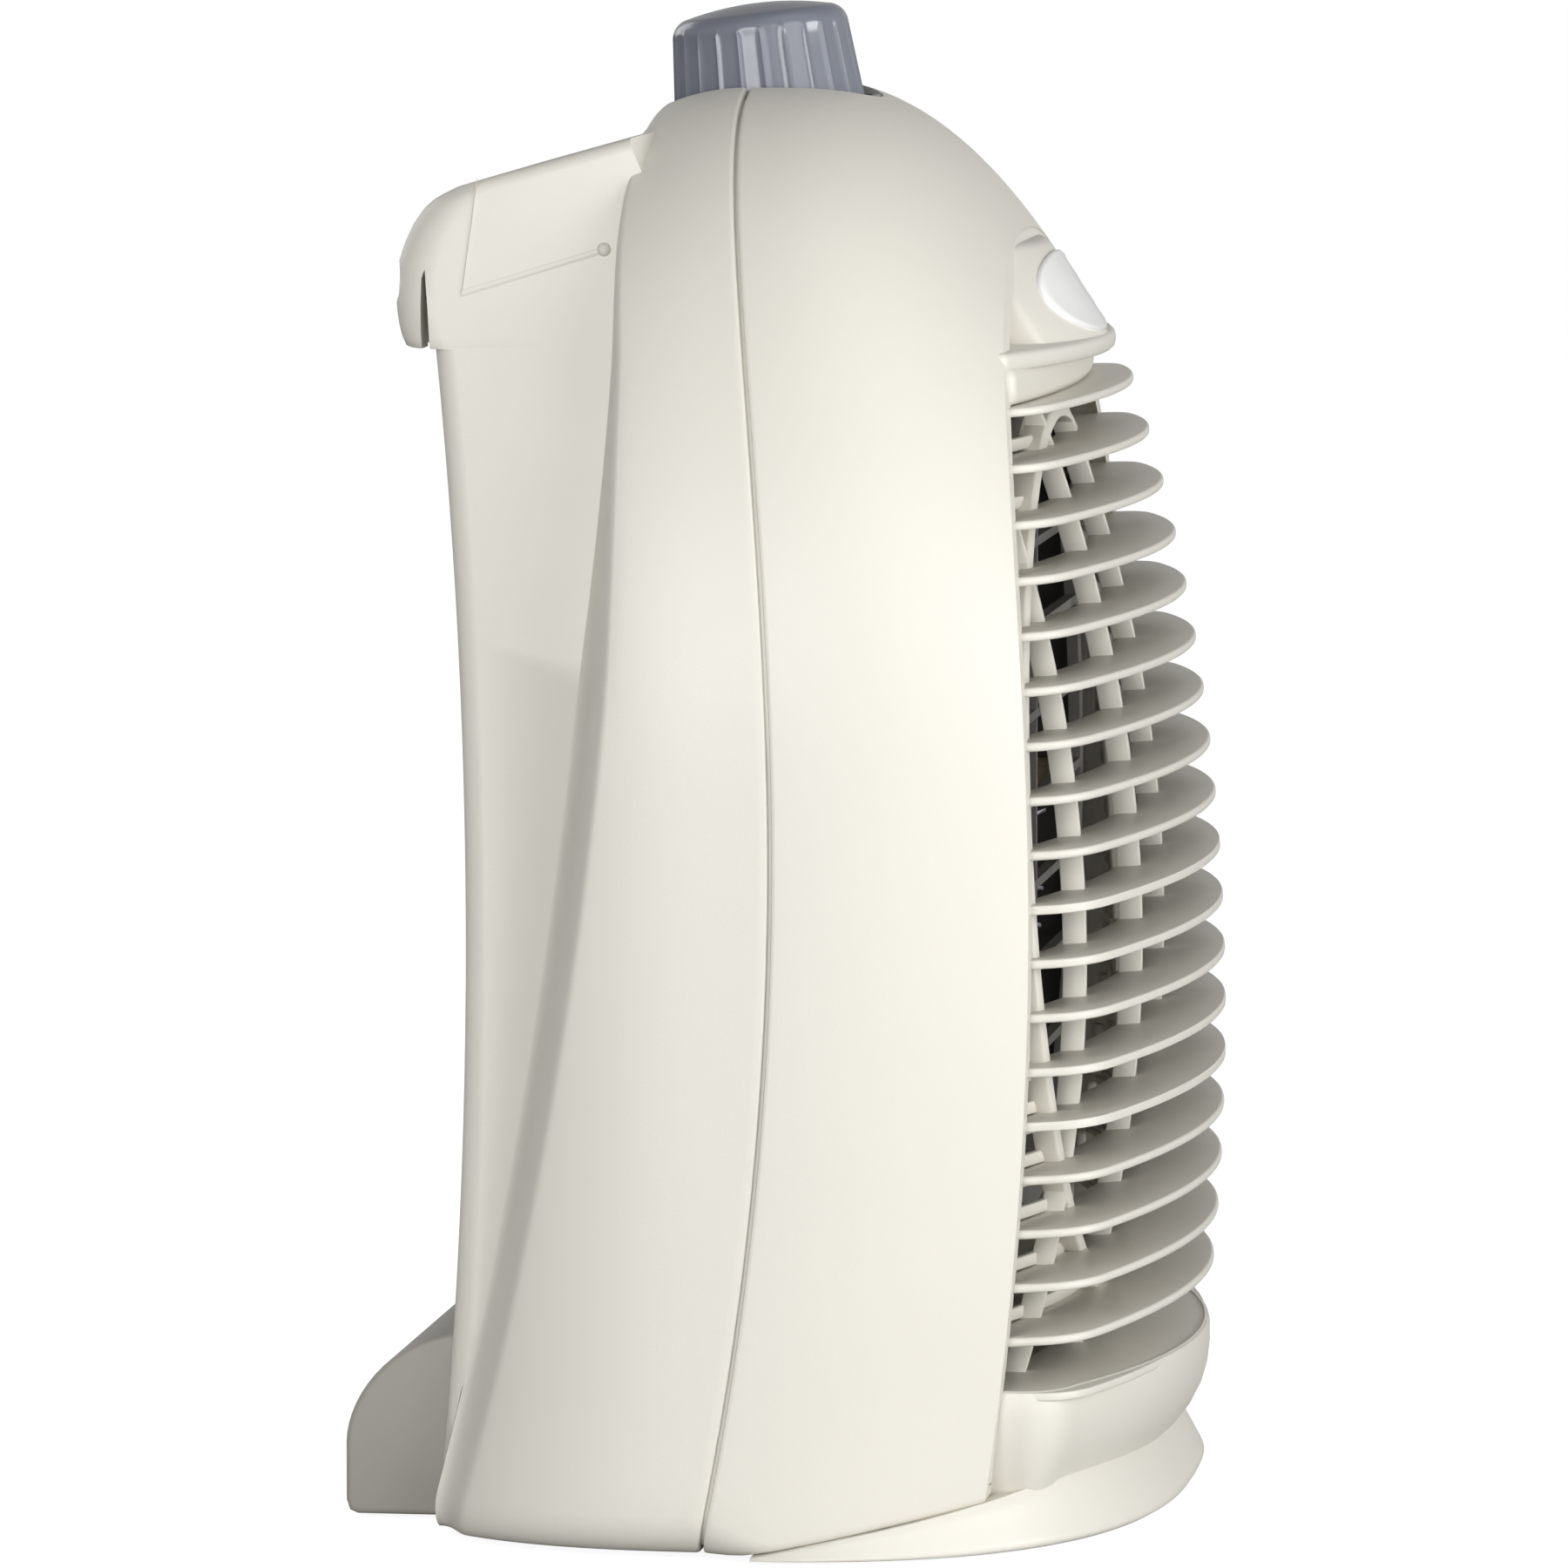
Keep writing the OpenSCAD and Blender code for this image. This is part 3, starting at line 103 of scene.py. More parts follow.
world = bpy.data.worlds.new("surround")
bpy.context.scene.world = world
world.use_nodes = True
tree = world.node_tree
tree.nodes.clear()
world_out = tree.nodes.new("ShaderNodeOutputWorld")
world_light = tree.nodes.new("ShaderNodeBackground")
world_light.inputs["Color"].default_value = (1, 1, 1, 1)
world_ray = tree.nodes.new("ShaderNodeLightPath")
world_way = tree.nodes.new("ShaderNodeTexCoord")
world_up = tree.nodes.new("ShaderNodeSeparateXYZ")
world_level = tree.nodes.new("ShaderNodeMapRange")
world_level.inputs["From Min"].default_value = 0.0
world_level.inputs["From Max"].default_value = 1.0
world_level.inputs["To Min"].default_value = horizon_light
world_level.inputs["To Max"].default_value = zenith_light
world_most = tree.nodes.new("ShaderNodeMath")
world_most.operation = "MAXIMUM"
tree.links.new(world_way.outputs["Generated"], world_up.inputs[0])
tree.links.new(world_up.outputs["Z"], world_level.inputs["Value"])
tree.links.new(world_level.outputs["Result"], world_most.inputs[0])
tree.links.new(world_ray.outputs["Is Camera Ray"], world_most.inputs[1])
tree.links.new(world_most.outputs[0], world_light.inputs["Strength"])
tree.links.new(world_light.outputs[0], world_out.inputs["Surface"])

lamps = [
    ("key_lamp", (-1.25, -1.25, 0.26), 1.4, 17.5),
    ("front_lamp", (-0.3, -1.9, 0.2), 0.7, 18.0),
    ("side_lamp", (-1.95, 0.15, 0.26), 1.0, 24.0),
    ("top_lamp", (-0.2, -0.5, 1.6), 0.9, 1.5),
    ("rear_lamp", (1.2, 1.2, 0.7), 0.9, 4.0),
]
for lamp_name, lamp_place, lamp_size, lamp_power in lamps:
    lamp_data = bpy.data.lights.new(lamp_name, "AREA")
    lamp_data.size = lamp_size
    lamp_data.energy = lamp_power
    lamp = bpy.data.objects.new(lamp_name, lamp_data)
    lamp.location = lamp_place
    lamp.rotation_euler = (aim - lamp.location).to_track_quat("-Z", "Y").to_euler()
    bpy.context.scene.collection.objects.link(lamp)


# Rear shell: injection moulded in warm cream plastic with a fine satin grain. Its bulged sides
# sweep down into a straight box, which has the carry grip at its top. Screw posts run inside.
def moulded_plastic(name, colour, roughness, grain=0.5, grain_depth=0.05, mottle=0.02):
    """Plastic from a mould: a fine grain in the surface and a faint cloudiness in the colour."""
    material = bpy.data.materials.new(name)
    material.use_nodes = True
    tree = material.node_tree
    shader = tree.nodes["Principled BSDF"]
    place = tree.nodes.new("ShaderNodeTexCoord")
    clouds = tree.nodes.new("ShaderNodeTexNoise")
    clouds.inputs["Scale"].default_value = 22
    clouds.inputs["Detail"].default_value = 4
    tint = tree.nodes.new("ShaderNodeMix")
    tint.data_type = "RGBA"
    tint.inputs[6].default_value = (*[c * (1 - mottle) for c in colour], 1)
    tint.inputs[7].default_value = (*[min(1, c * (1 + mottle)) for c in colour], 1)
    grains = tree.nodes.new("ShaderNodeTexNoise")
    grains.inputs["Scale"].default_value = 1 / (grain * mm)
    grains.inputs["Detail"].default_value = 2
    bump = tree.nodes.new("ShaderNodeBump")
    bump.inputs["Strength"].default_value = 0.35
    bump.inputs["Distance"].default_value = grain_depth * mm
    sheen = tree.nodes.new("ShaderNodeMapRange")
    sheen.inputs["From Min"].default_value = 0.3
    sheen.inputs["From Max"].default_value = 0.7
    sheen.inputs["To Min"].default_value = roughness * 0.9
    sheen.inputs["To Max"].default_value = min(1, roughness * 1.12)
    tree.links.new(place.outputs["Object"], clouds.inputs["Vector"])
    tree.links.new(place.outputs["Object"], grains.inputs["Vector"])
    tree.links.new(clouds.outputs["Fac"], tint.inputs[0])
    tree.links.new(tint.outputs[2], shader.inputs["Base Color"])
    tree.links.new(grains.outputs["Fac"], bump.inputs["Height"])
    tree.links.new(bump.outputs[0], shader.inputs["Normal"])
    tree.links.new(clouds.outputs["Fac"], sheen.inputs["Value"])
    tree.links.new(sheen.outputs["Result"], shader.inputs["Roughness"])
    return material


cream = moulded_plastic("cream_plastic", (0.71, 0.685, 0.62), 0.42)

half_w = 96
body_h = 245.5
spring_h = 130
arch_n = 2.4
foot_h = 1
heel_r = 7
wall = 2.5
seam_gap = 0.6
weld = 0.00002
heel_steps = 7
side_steps = 26
arch_steps = 40


def lerp(a, b, t):
    return a + (b - a) * t


def seam_at(z):
    """Depth of the seam between the two shells at a height."""
    return -11 + 0.0009 * (z - 118) ** 2


def half_outline(w, top, bottom, heel_r=heel_r):
    """Right half of the upright outline, from the bottom's middle to the crown."""
    points = [(0, bottom), (w * 0.5, bottom)]
    for k in range(heel_steps):
        a = math.pi / 2 * k / (heel_steps - 1)
        points.append((w - heel_r + heel_r * math.sin(a), bottom + heel_r * (1 - math.cos(a))))
    for k in range(1, side_steps):
        points.append((w, lerp(bottom + heel_r, spring_h, k / side_steps)))
    for k in range(arch_steps):
        a = math.pi / 2 * k / (arch_steps - 1)
        points.append((w * max(0, math.cos(a)) ** (2 / arch_n),
                       spring_h + (top - spring_h) * math.sin(a) ** (2 / arch_n)))
    return points


def outline(w, top, bottom, heel_r=heel_r):
    """The whole upright outline, as a closed loop."""
    half = half_outline(w, top, bottom, heel_r)
    return half + [(-x, z) for x, z in half[-2:0:-1]]


def place(x, y, z):
    """A point in the heater's own millimetres, as metres in the shared frame."""
    return Vector((x, y + body_y, z)) * mm


def new_piece(name, mesh, material):
    """A mesh as an object at the origin, with its material."""
    mesh.name = name
    piece = bpy.data.objects.new(name, mesh)
    bpy.context.scene.collection.objects.link(piece)
    piece.data.materials.append(material)
    return piece


def lofted(name, rings, material, around=False):
    """Skins a stack of closed rings. The ends are capped, or joined where around is true."""
    work = bmesh.new()
    rows = [[work.verts.new(place(*point)) for point in ring] for ring in rings]
    pairs = list(zip(rows, rows[1:])) + ([(rows[-1], rows[0])] if around else [])
    for low, high in pairs:
        for i in range(len(low)):
            k = (i + 1) % len(low)
            work.faces.new((low[i], low[k], high[k], high[i]))
    if not around:
        work.faces.new(rows[0][::-1])
        work.faces.new(rows[-1])
    bmesh.ops.remove_doubles(work, verts=work.verts, dist=weld)
    bmesh.ops.recalc_face_normals(work, faces=work.faces)
    mesh = bpy.data.meshes.new(name)
    work.to_mesh(mesh)
    work.free()
    return new_piece(name, mesh, material)


def combine(piece, tool, way):
    """Joins, cuts or intersects a piece with a tool solid, which is used up."""
    modifier = piece.modifiers.new("join", "BOOLEAN")
    modifier.operation = way
    modifier.solver = "EXACT"
    modifier.object = tool
    clear_selection()
    bpy.context.view_layer.objects.active = piece
    piece.select_set(True)
    bpy.ops.object.modifier_apply(modifier="join")
    bpy.data.objects.remove(tool)


def smooth(piece, angle=38):
    """Smooth shading up to an angle between faces, sharp past it."""
    clear_selection()
    bpy.context.view_layer.objects.active = piece
    piece.select_set(True)
    bpy.ops.object.shade_smooth_by_angle(angle=math.radians(angle))


def bevelled(piece, width, segments=3, angle=35):
    """Rounds a piece's edges that are sharper than an angle."""
    modifier = piece.modifiers.new("round", "BEVEL")
    modifier.width = width * mm
    modifier.segments = segments
    modifier.limit_method = "ANGLE"
    modifier.angle_limit = math.radians(angle)
    modifier.use_clamp_overlap = True
    clear_selection()
    bpy.context.view_layer.objects.active = piece
    piece.select_set(True)
    bpy.ops.object.modifier_apply(modifier="round")


def block(name, low, high, material=cream):
    """A block between two corners."""
    clear_selection()
    centre = [(a + b) / 2 for a, b in zip(low, high)]
    bpy.ops.mesh.primitive_cube_add(size=1, location=place(*centre))
    piece = bpy.context.object
    piece.name = name
    piece.scale = [(b - a) * mm for a, b in zip(low, high)]
    bpy.ops.object.transform_apply(location=True, rotation=True, scale=True)
    piece.data.materials.append(material)
    return piece


def rod(name, radius, y0, y1, x, z, material=cream, sides=48):
    """A round rod along the depth axis."""
    clear_selection()
    bpy.ops.mesh.primitive_cylinder_add(vertices=sides, radius=radius * mm, depth=(y1 - y0) * mm,
                                        location=place(x, (y0 + y1) / 2, z),
                                        rotation=(math.pi / 2, 0, 0))
    piece = bpy.context.object
    piece.name = name
    bpy.ops.object.transform_apply(location=True, rotation=True, scale=True)
    piece.data.materials.append(material)
    return piece


def joined(name, pieces):
    """Several objects as one."""
    clear_selection()
    for piece in pieces:
        piece.select_set(True)
    bpy.context.view_layer.objects.active = pieces[0]
    bpy.ops.object.join()
    piece = bpy.context.object
    piece.name = name
    piece.data.name = name
    return piece


# The bulged sides and the rear box, in millimetres. The fade line gives the depth, half width and
# height of the outline that the box is cut to.
roll_start = 0.7
bulge_n = 2.6
crown_drop = 6
crown_roll = 2.5
box_low_w = 74
box_top_w = 50
box_slope_h = 235.6
box_slope_y = 24
box_h = 228
lip_top_y = 51
box_front_y = 14
box_r = 4
box_top_r = 2
box_low_r = 3
tuck = 0.15
seam_round = 0.5
fade_line = [(10, 85, 236), (16, 90, 241), (22, 101, 251), (30, 118, 266), (80, 190, 330)]


def sweep_at(z):
    """Where the bulged sides end at a height: far back at the ground, forward above."""
    main_curve = 25.2 * max(0, 1 - z / 200) ** 1.74
    crown_pull = 0.004 * max(0, z - 215) ** 2
    ground_push = 1.1 * max(0, 1 - z / 50) ** 2
    heel_pull = 1.5 * max(0, 1 - max(0, z - foot_h) / heel_r) ** 2
    return 25 + main_curve - crown_pull + (ground_push - heel_pull)


def box_w(z):
    """Half the width of the box at a height."""
    return lerp(box_low_w, box_top_w, z / box_slope_h)


def rear_wall_at(z):
    """Depth of the hollow back wall at a height."""
    return 46.2 + 0.0005 * (z - 85) ** 2


def box_slope_at(y):
    """Height of the box's sloped top at a depth."""
    return box_slope_h - (y - box_slope_y) * (box_slope_h - box_h) / (lip_top_y - box_slope_y)


def rear_ring(t, inset, shift=0):
    """One ring of the bulged sides, from the seam at 0 to their rolled-in end at 1."""
    ring = []

    def roll_at(z):
        # The sides turn in to the box in a soft double curve, which is short near the ground
        start = lerp(0.87, roll_start, min(1, z / 150)) + 0.1 * max(0, (z - 200) / 40)
        return 0.5 + 0.5 * math.cos(math.pi * max(0, t - start) / (1 - start))

    top = body_h - inset - crown_drop * t * t - crown_roll * (1 - roll_at(240))
    for x, z in outline(half_w, top, foot_h + inset):
        roll = roll_at(z)
        y = lerp(seam_at(z) + seam_gap / 2, sweep_at(z), t)
        reach = 60 + 9 * max(0, 1 - z / 90) ** 2
        bulge = half_w * (1 - (max(0, y) / reach) ** bulge_n) ** (1 / bulge_n)
        w_end = box_w(z) - tuck
        w = w_end + (bulge - w_end) * roll - inset
        ring.append((x * w / half_w, y - inset * (1 - roll) + shift, z))
    return ring


# The lip's outer face, as depths and heights
lip_h = 201
lip_line = [(58.8, 201), (59.8, 204), (60.4, 207.5), (60.6, 211), (60.3, 215), (59.2, 218.6),
            (57.8, 221.8), (56, 224.4), (54.2, 226.3), (52.8, 227.3), (51.8, 228)]
lip_corner_r = 8
settling_rounds = 12


def lip_back_at(z):
    """Depth of the lip's outer face at a height."""
    for (y0, z0), (y1, z1) in zip(lip_line, lip_line[1:]):
        if z <= z1:
            return lerp(y0, y1, max(0, z - z0) / (z1 - z0))
    return lip_line[-1][0]


def box_ring(level, inset, drop=0, lip=0, share=None, back_in=0):
    """Plan of the rear box at a level, or above the lip's edge at a share of the way up."""
    ring = []
    corner_steps = 8
    quarter = [math.pi / 2 * k / corner_steps for k in range(corner_steps + 1)]
    stations = [(-1, 0, 0), (1, 0, 0)] + [(1, 1, a) for a in quarter]
    stations += [(-1, 1, math.pi / 2 + a) for a in quarter]
    for sx, sy, a in stations:
        z = level
        r = max(0.3, lerp(box_r, lip_corner_r, lip) - inset)
        # Depth and height depend on each other under the sloped top, so both settle in rounds
        for _ in range(settling_rounds):
            back = lip_back_at(z) if lip else min(rear_wall_at(z), 51.5 + 1.25 * (227.4 - z))
            y = back - back_in - inset - r + r * math.sin(a) if sy else box_front_y
            if share is not None:
                z = lerp(lip_h, box_slope_at(y) - drop, share)
        w = box_w(z) - inset
        ring.append((sx * (w - r) + r * math.cos(a) if sy else sx * w, y, z))
    return ring


def box_solid(name, inset, lip=0):
    """The rear box as a solid with rounded edges. Its top may reach back as the grip's lip."""
    rings = []
    low = foot_h + inset
    low_steps = 5
    for k in range(low_steps + 1):
        a = math.pi / 2 * k / low_steps
        rings.append(box_ring(low + box_low_r * (1 - math.cos(a)),
                              inset + box_low_r * (1 - math.sin(a))))
    wall_steps = 24
    rings += [box_ring(lerp(low + box_low_r, lip_h, k / wall_steps), inset)
              for k in range(1, wall_steps + 1)]
    if lip:
        rings += [box_ring(lip_h, inset, lip=lip, back_in=0.9),
                  box_ring(lip_h, inset, lip=lip, share=0.01, back_in=0.25)]
    slope_steps = 18
    for k in range(1, slope_steps):
        share = 1 - (1 - k / slope_steps) ** 1.6
        rings.append(box_ring(lip_h, inset, inset + box_top_r, lip, share))
    round_steps = 6
    for k in range(round_steps + 1):
        a = math.pi / 2 * k / round_steps
        rings.append(box_ring(lip_h, inset + box_top_r * (1 - math.cos(a)),
                              inset + box_top_r * (1 - math.sin(a)), lip, 1))
    return lofted(name, rings, cream)


def bulge_solid(name, inset):
    """The bulged sides as a solid. The outer one has a small round at the seam."""
    if inset:
        rings = [rear_ring(0, inset, -3), rear_ring(0, inset)]
    else:
        rings = [rear_ring(0, seam_round), rear_ring(0, seam_round * 0.3, seam_round * 0.3),
                 rear_ring(0, 0, seam_round)]
    flat_start = 0.04
    flat_steps = 10
    rings += [rear_ring(flat_start + (roll_start - flat_start) * k / flat_steps, inset)
              for k in range(flat_steps + 1)]
    roll_steps = 26
    for k in range(1, roll_steps + 1):
        rings.append(rear_ring(lerp(roll_start, 1, k / roll_steps), inset))
    return lofted(name, rings, cream)


def faded_box(name, inset, lip=0):
    """The rear box with its top edges fading into the crown at the front end."""
    box = box_solid(name, inset, lip)
    rings = [[(x, y, z) for x, z in outline(w - inset, top - inset, -5)]
             for y, w, top in fade_line]
    combine(box, lofted("fade", rings, cream), "INTERSECT")
    return box


rear_shell = bulge_solid("rear_shell_moulding", 0)
combine(rear_shell, faded_box("rear_box", 0, 1), "UNION")
# The hollow inside is the same two solids, drawn in by the wall
inside = bulge_solid("bulge_inside", wall)
combine(inside, faded_box("box_inside", wall), "UNION")
combine(rear_shell, inside, "DIFFERENCE")

# The carry grip's pocket stands in the box as a box of its own
grip_half_w = 33
grip_floor_h = 178
grip_top_h = 222
grip_back_y = 34
grip_t = 2
pocket_walls = block("pocket_walls",
                     (-grip_half_w - grip_t, grip_back_y - grip_t, grip_floor_h - grip_t),
                     (grip_half_w + grip_t, 48.5, grip_top_h + 4))
for vertex in pocket_walls.data.vertices:
    if vertex.co.y > (body_y + 45) * mm:
        vertex.co.y = (rear_wall_at(vertex.co.z / mm) - wall / 2 + body_y) * mm
combine(rear_shell, pocket_walls, "UNION")

# The lip hangs over the pocket's mouth, and a slot parts it from the wall up to its ends
slot_line = [(53.1, 200.5), (53.6, 206), (54.3, 212), (55, 216.6), (55.6, 217.4), (56.4, 217.2),
             (57.4, 214.8), (58, 211), (57.6, 206), (56.7, 200.5)]
end_line = [(53.4, 200), (53.9, 208), (54.5, 214.5), (55.1, 213), (55.2, 208), (55, 200)]
for slot_name, line, half in (("lip_slot", slot_line, 45.5), ("slot_end", end_line, 60)):
    slot = lofted(slot_name, [[(x, y, z) for y, z in line] for x in (-half, half)], cream)
    combine(rear_shell, slot, "DIFFERENCE")

# Screw posts for the case screws and the fan housing, then everything that is cut through
case_places = [(-52, 7.7), (52, 7.7), (-45.5, 212), (45.5, 212)]
housing_places = [(-48, 62.5), (48, 62.5), (-48, 177.5), (48, 177.5)]
screw_r = 1.75
post_r = 4.8
head_r = 3.2
screw_play = 0.3
posts = [rod("post", post_r, seam_at(z) + 1, rear_wall_at(z) - 1, x, z) for x, z in case_places]
posts += [rod("post", post_r, 3, rear_wall_at(z) - 1, x, z) for x, z in housing_places]
combine(rear_shell, joined("posts", posts), "UNION")

bush_x = 48
bush_h = 42.5
bush_hole_r = 6.3
window_half_w = 40
window_low_h = 54
window_top_h = 150
cutters = [block("pocket", (-grip_half_w, grip_back_y, grip_floor_h),
                 (grip_half_w, 56.8, grip_top_h - grip_t)),
           block("way_in", (-grip_half_w, 50, grip_floor_h + 0.01), (grip_half_w, 75, lip_h - 1.2)),
           block("air_window", (-window_half_w, 40, window_low_h),
                 (window_half_w, 70, window_top_h)),
           rod("bush_hole", bush_hole_r, 36, 70, bush_x, bush_h)]
cutters += [rod("head_hole", head_r + screw_play, 8, 75, x, z) for x, z in case_places]
cutters += [rod("screw_hole", screw_r + screw_play, -20, 9, x, z) for x, z in case_places]
for cutter in cutters:
    combine(rear_shell, cutter, "DIFFERENCE")

# The knob and its cup lean with the crown
knob_lean = math.radians(7)
knob_y = 2
cup_floor_h = 236.3
control_frame = (Matrix.Translation(place(0, knob_y, cup_floor_h))
                 @ Matrix.Rotation(-knob_lean, 4, "X"))


def control_rod(name, radius, low, high, sides=96, material=cream):
    """A round rod on the control's leaning axis."""
    clear_selection()
    bpy.ops.mesh.primitive_cylinder_add(vertices=sides, radius=radius * mm, depth=(high - low) * mm,
                                        location=(0, 0, (low + high) / 2 * mm))
    piece = bpy.context.object
    piece.name = name
    bpy.ops.object.transform_apply(location=True, rotation=True, scale=True)
    piece.data.transform(control_frame)
    piece.data.materials.append(material)
    return piece


cup_hole_r = 19.8
combine(rear_shell, control_rod("cup_hole", cup_hole_r, -12, 28), "DIFFERENCE")
smooth(rear_shell, 52)
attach(rear_shell, "body")
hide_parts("rear_shell")

# Seam tongue: a thin cream strip behind the seam, fixed to the rear shell, which closes the gap
# against the dark inside.
tongue_in = 1.1
outer, inner = (outline(half_w - depth, body_h - depth, foot_h + depth)
                for depth in (tongue_in, 2 * tongue_in))
tongue_rings = []
turns = len(outer)
crown_at = max(range(turns), key=lambda i: outer[i][1])
for k in range(1, turns):
    (x0, z0), (x1, z1) = outer[(crown_at + k) % turns], inner[(crown_at + k) % turns]
    # It leaves the hole of the knob's cup free
    if z0 > spring_h and abs(x0) < cup_hole_r + 1.2:
        continue
    tongue_rings.append([(x0, seam_at(z0) - 1, z0), (x0, seam_at(z0) + 1, z0),
                         (x1, seam_at(z1) + 1, z1), (x1, seam_at(z1) - 1, z1)])
tongue = lofted("seam_tongue", tongue_rings, cream)
smooth(tongue)
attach(tongue, "body")

# Panel frame: a thin raised line of cream plastic, moulded on the box's left side. It frames a
# plain panel and has a small dot at one end.
panel_line = []
line_steps = 12
dot_y = 23.6
dot_h = 218.1
for y0, z0, y1, z1 in [(48, 210.5, 23.5, dot_h), (48, 210.5, 45.6, 229.5)]:
    ring_list = []
    for k in range(line_steps + 1):
        y = lerp(y0, y1, k / line_steps)
        z = lerp(z0, z1, k / line_steps)
        # The side wall turns in towards the rear edge, so the line follows its round corner
        start = rear_wall_at(z) - box_r
        dip = box_r - math.sqrt(max(0, box_r ** 2 - min(box_r, max(0, y - start)) ** 2))
        x = -(box_w(z) - dip)
        ring_list.append([(x - 0.42 * math.cos(a), y, z + 0.65 * math.sin(a))
                          for a in [math.pi / 3 * j for j in range(6)]])
    panel_line.append(lofted("panel_line", ring_list, cream))
clear_selection()
bpy.ops.mesh.primitive_uv_sphere_add(segments=16, ring_count=8, radius=1.2 * mm,
                                     location=place(-box_w(218), dot_y, dot_h))
bpy.context.object.data.materials.append(cream)
bpy.ops.object.transform_apply(location=True, rotation=True, scale=True)
panel_line.append(bpy.context.object)
panel_frame = joined("panel_frame_line", panel_line)
smooth(panel_frame, 60)
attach(panel_frame, "body")

# Front shell: the other half of the case, moulded in the same cream plastic. It narrows to an
# arched rim around the louvre. Four bosses take the case screws from behind.
rim_half_w = 80
rim_h = 219.5
side_power = 2.2
crown_power = 2.9
band_h = 11.5
rim_heel_r = 1.5


def rim_at(z):
    """Depth of the front rim at a height."""
    return -52.6 + 0.00078 * (z - 105) ** 2


def base_at(y):
    """Height of the top of the base plate under the body."""
    return foot_h + min(10.5, 0.2 * max(0, -7 - y))


def front_ring(t, inset, shift=0):
    """One ring of the front shell, from the seam at 0 to the rim at 1."""
    w = half_w - (half_w - rim_half_w) * t ** side_power
    top = body_h - (body_h - rim_h) * t ** crown_power
    low = base_at(lerp(seam_at(band_h), rim_at(band_h), t))
    corner = lerp(heel_r, rim_heel_r, min(1, 4 * t))
    return [(x, lerp(seam_at(z) - seam_gap / 2, rim_at(z), t) + shift, z)
            for x, z in outline(w - inset, top - inset, low + inset, corner)]


front_steps = 30
rim_round = 0.7
rings = [front_ring(0, 0.5), front_ring(0, 0.15, -0.15), front_ring(0, 0, -0.5)]
rings += [front_ring(math.sin(math.pi / 2 * k / front_steps) if k else 0.02, 0)
          for k in range(front_steps)]
rings += [front_ring(1, 0, rim_round * 0.6), front_ring(1, rim_round * 0.3, rim_round * 0.15),
          front_ring(1, rim_round, 0), front_ring(1, wall, 0)]
rings += [front_ring(math.cos(math.pi / 2 * k / front_steps), wall) for k in range(1, front_steps)]
rings.append(front_ring(0, wall))
front_shell = lofted("front_shell_moulding", rings, cream, around=True)
combine(front_shell, control_rod("cup_hole", cup_hole_r, -12, 28), "DIFFERENCE")
bosses = [rod("boss", post_r, seam_at(z) - 16, seam_at(z) - 0.5, x, z) for x, z in case_places]
combine(front_shell, joined("bosses", bosses), "UNION")
smooth(front_shell)
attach(front_shell, "body")
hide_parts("front_shell")

# Louvre: one cream moulding of eighteen bowed fins on a frame inside the front rim. Upright ribs
# and an oval ring tie the fins together behind, and bars with long slots close the corners.
bow_r = 218
bow_reach = 76.7
bow_mid_h = 77
fin_t = 1.5
fin_count = 18
fin_top_h = 191.5
fin_pitch = 9.16
fin_tilt = math.radians(4)
frame_inset = 2.8
grid_depth = 4
plate_weld = 0.00005


def bow_side(x):
    """How far the louvre's bow falls back at a distance from the middle."""
    return bow_r - math.sqrt(bow_r ** 2 - x * x)


def louvre_y(z):
    """Depth of the fins' front edges at a height, at the middle."""
    return -(bow_reach - 0.00112 * (z - bow_mid_h) ** 2 - 1.2e-8 * (z - bow_mid_h) ** 4)


def grid_at(z):
    """Depth of the bowl on which the ribs and the ring lie, at the middle."""
    return -63.7 + 0.0021 * (z - 97) ** 2


def frame_half_w(z):
    """Half the width inside the louvre's arched frame at a height."""
    w = rim_half_w - frame_inset
    top = rim_h - frame_inset
    if z <= spring_h:
        return w
    return w * max(0, 1 - ((z - spring_h) / (top - spring_h)) ** arch_n) ** (1 / arch_n)


def fin_plan(front, depth, half, root, corner=9):
    """Plan of a fin: bowed front, rounded corners, straight ends back to the frame."""
    front_points = []
    steps = 28
    reach = half - corner
    for k in range(steps + 1):
        x = lerp(-reach, reach, k / steps)
        front_points.append((x, front + bow_side(x)))
    end_y = front + bow_side(half) + corner * 0.7
    start = front_points[-1]
    slope = reach / math.sqrt(bow_r ** 2 - reach ** 2)
    middle = (half, start[1] + (half - reach) * slope)
    right = []
    corner_steps = 6
    for k in range(1, corner_steps + 1):
        t = k / corner_steps
        right.append(tuple((1 - t) ** 2 * a + 2 * t * (1 - t) * b + t * t * c
                           for a, b, c in zip(start, middle, (half, end_y))))
    left = [(-x, y) for x, y in right[::-1]]
    back_points = []
    inner = half - 7.5
    for k in range(steps + 1):
        x = lerp(inner, -inner, k / steps)
        back_points.append((x, front + depth + bow_side(x)))
    inner_y = max(root, back_points[0][1])
    return (left + front_points + right + [(half, root), (inner, inner_y)]
            + back_points + [(-inner, inner_y), (-half, root)])


def plate(name, plan, low, high, edge, material):
    """A flat plate of a plan between two heights, with rounded edges all round."""
    work = bmesh.new()
    work.faces.new([work.verts.new(place(x, y, low)) for x, y in plan])
    bmesh.ops.remove_doubles(work, verts=work.verts, dist=plate_weld)
    moved = bmesh.ops.extrude_face_region(work, geom=list(work.faces))
    for item in moved["geom"]:
        if isinstance(item, bmesh.types.BMVert):
            item.co.z += (high - low) * mm
    bmesh.ops.recalc_face_normals(work, faces=work.faces)
    mesh = bpy.data.meshes.new(name)
    work.to_mesh(mesh)
    work.free()
    piece = new_piece(name, mesh, material)
    bevelled(piece, edge, 3, 60)
    return piece


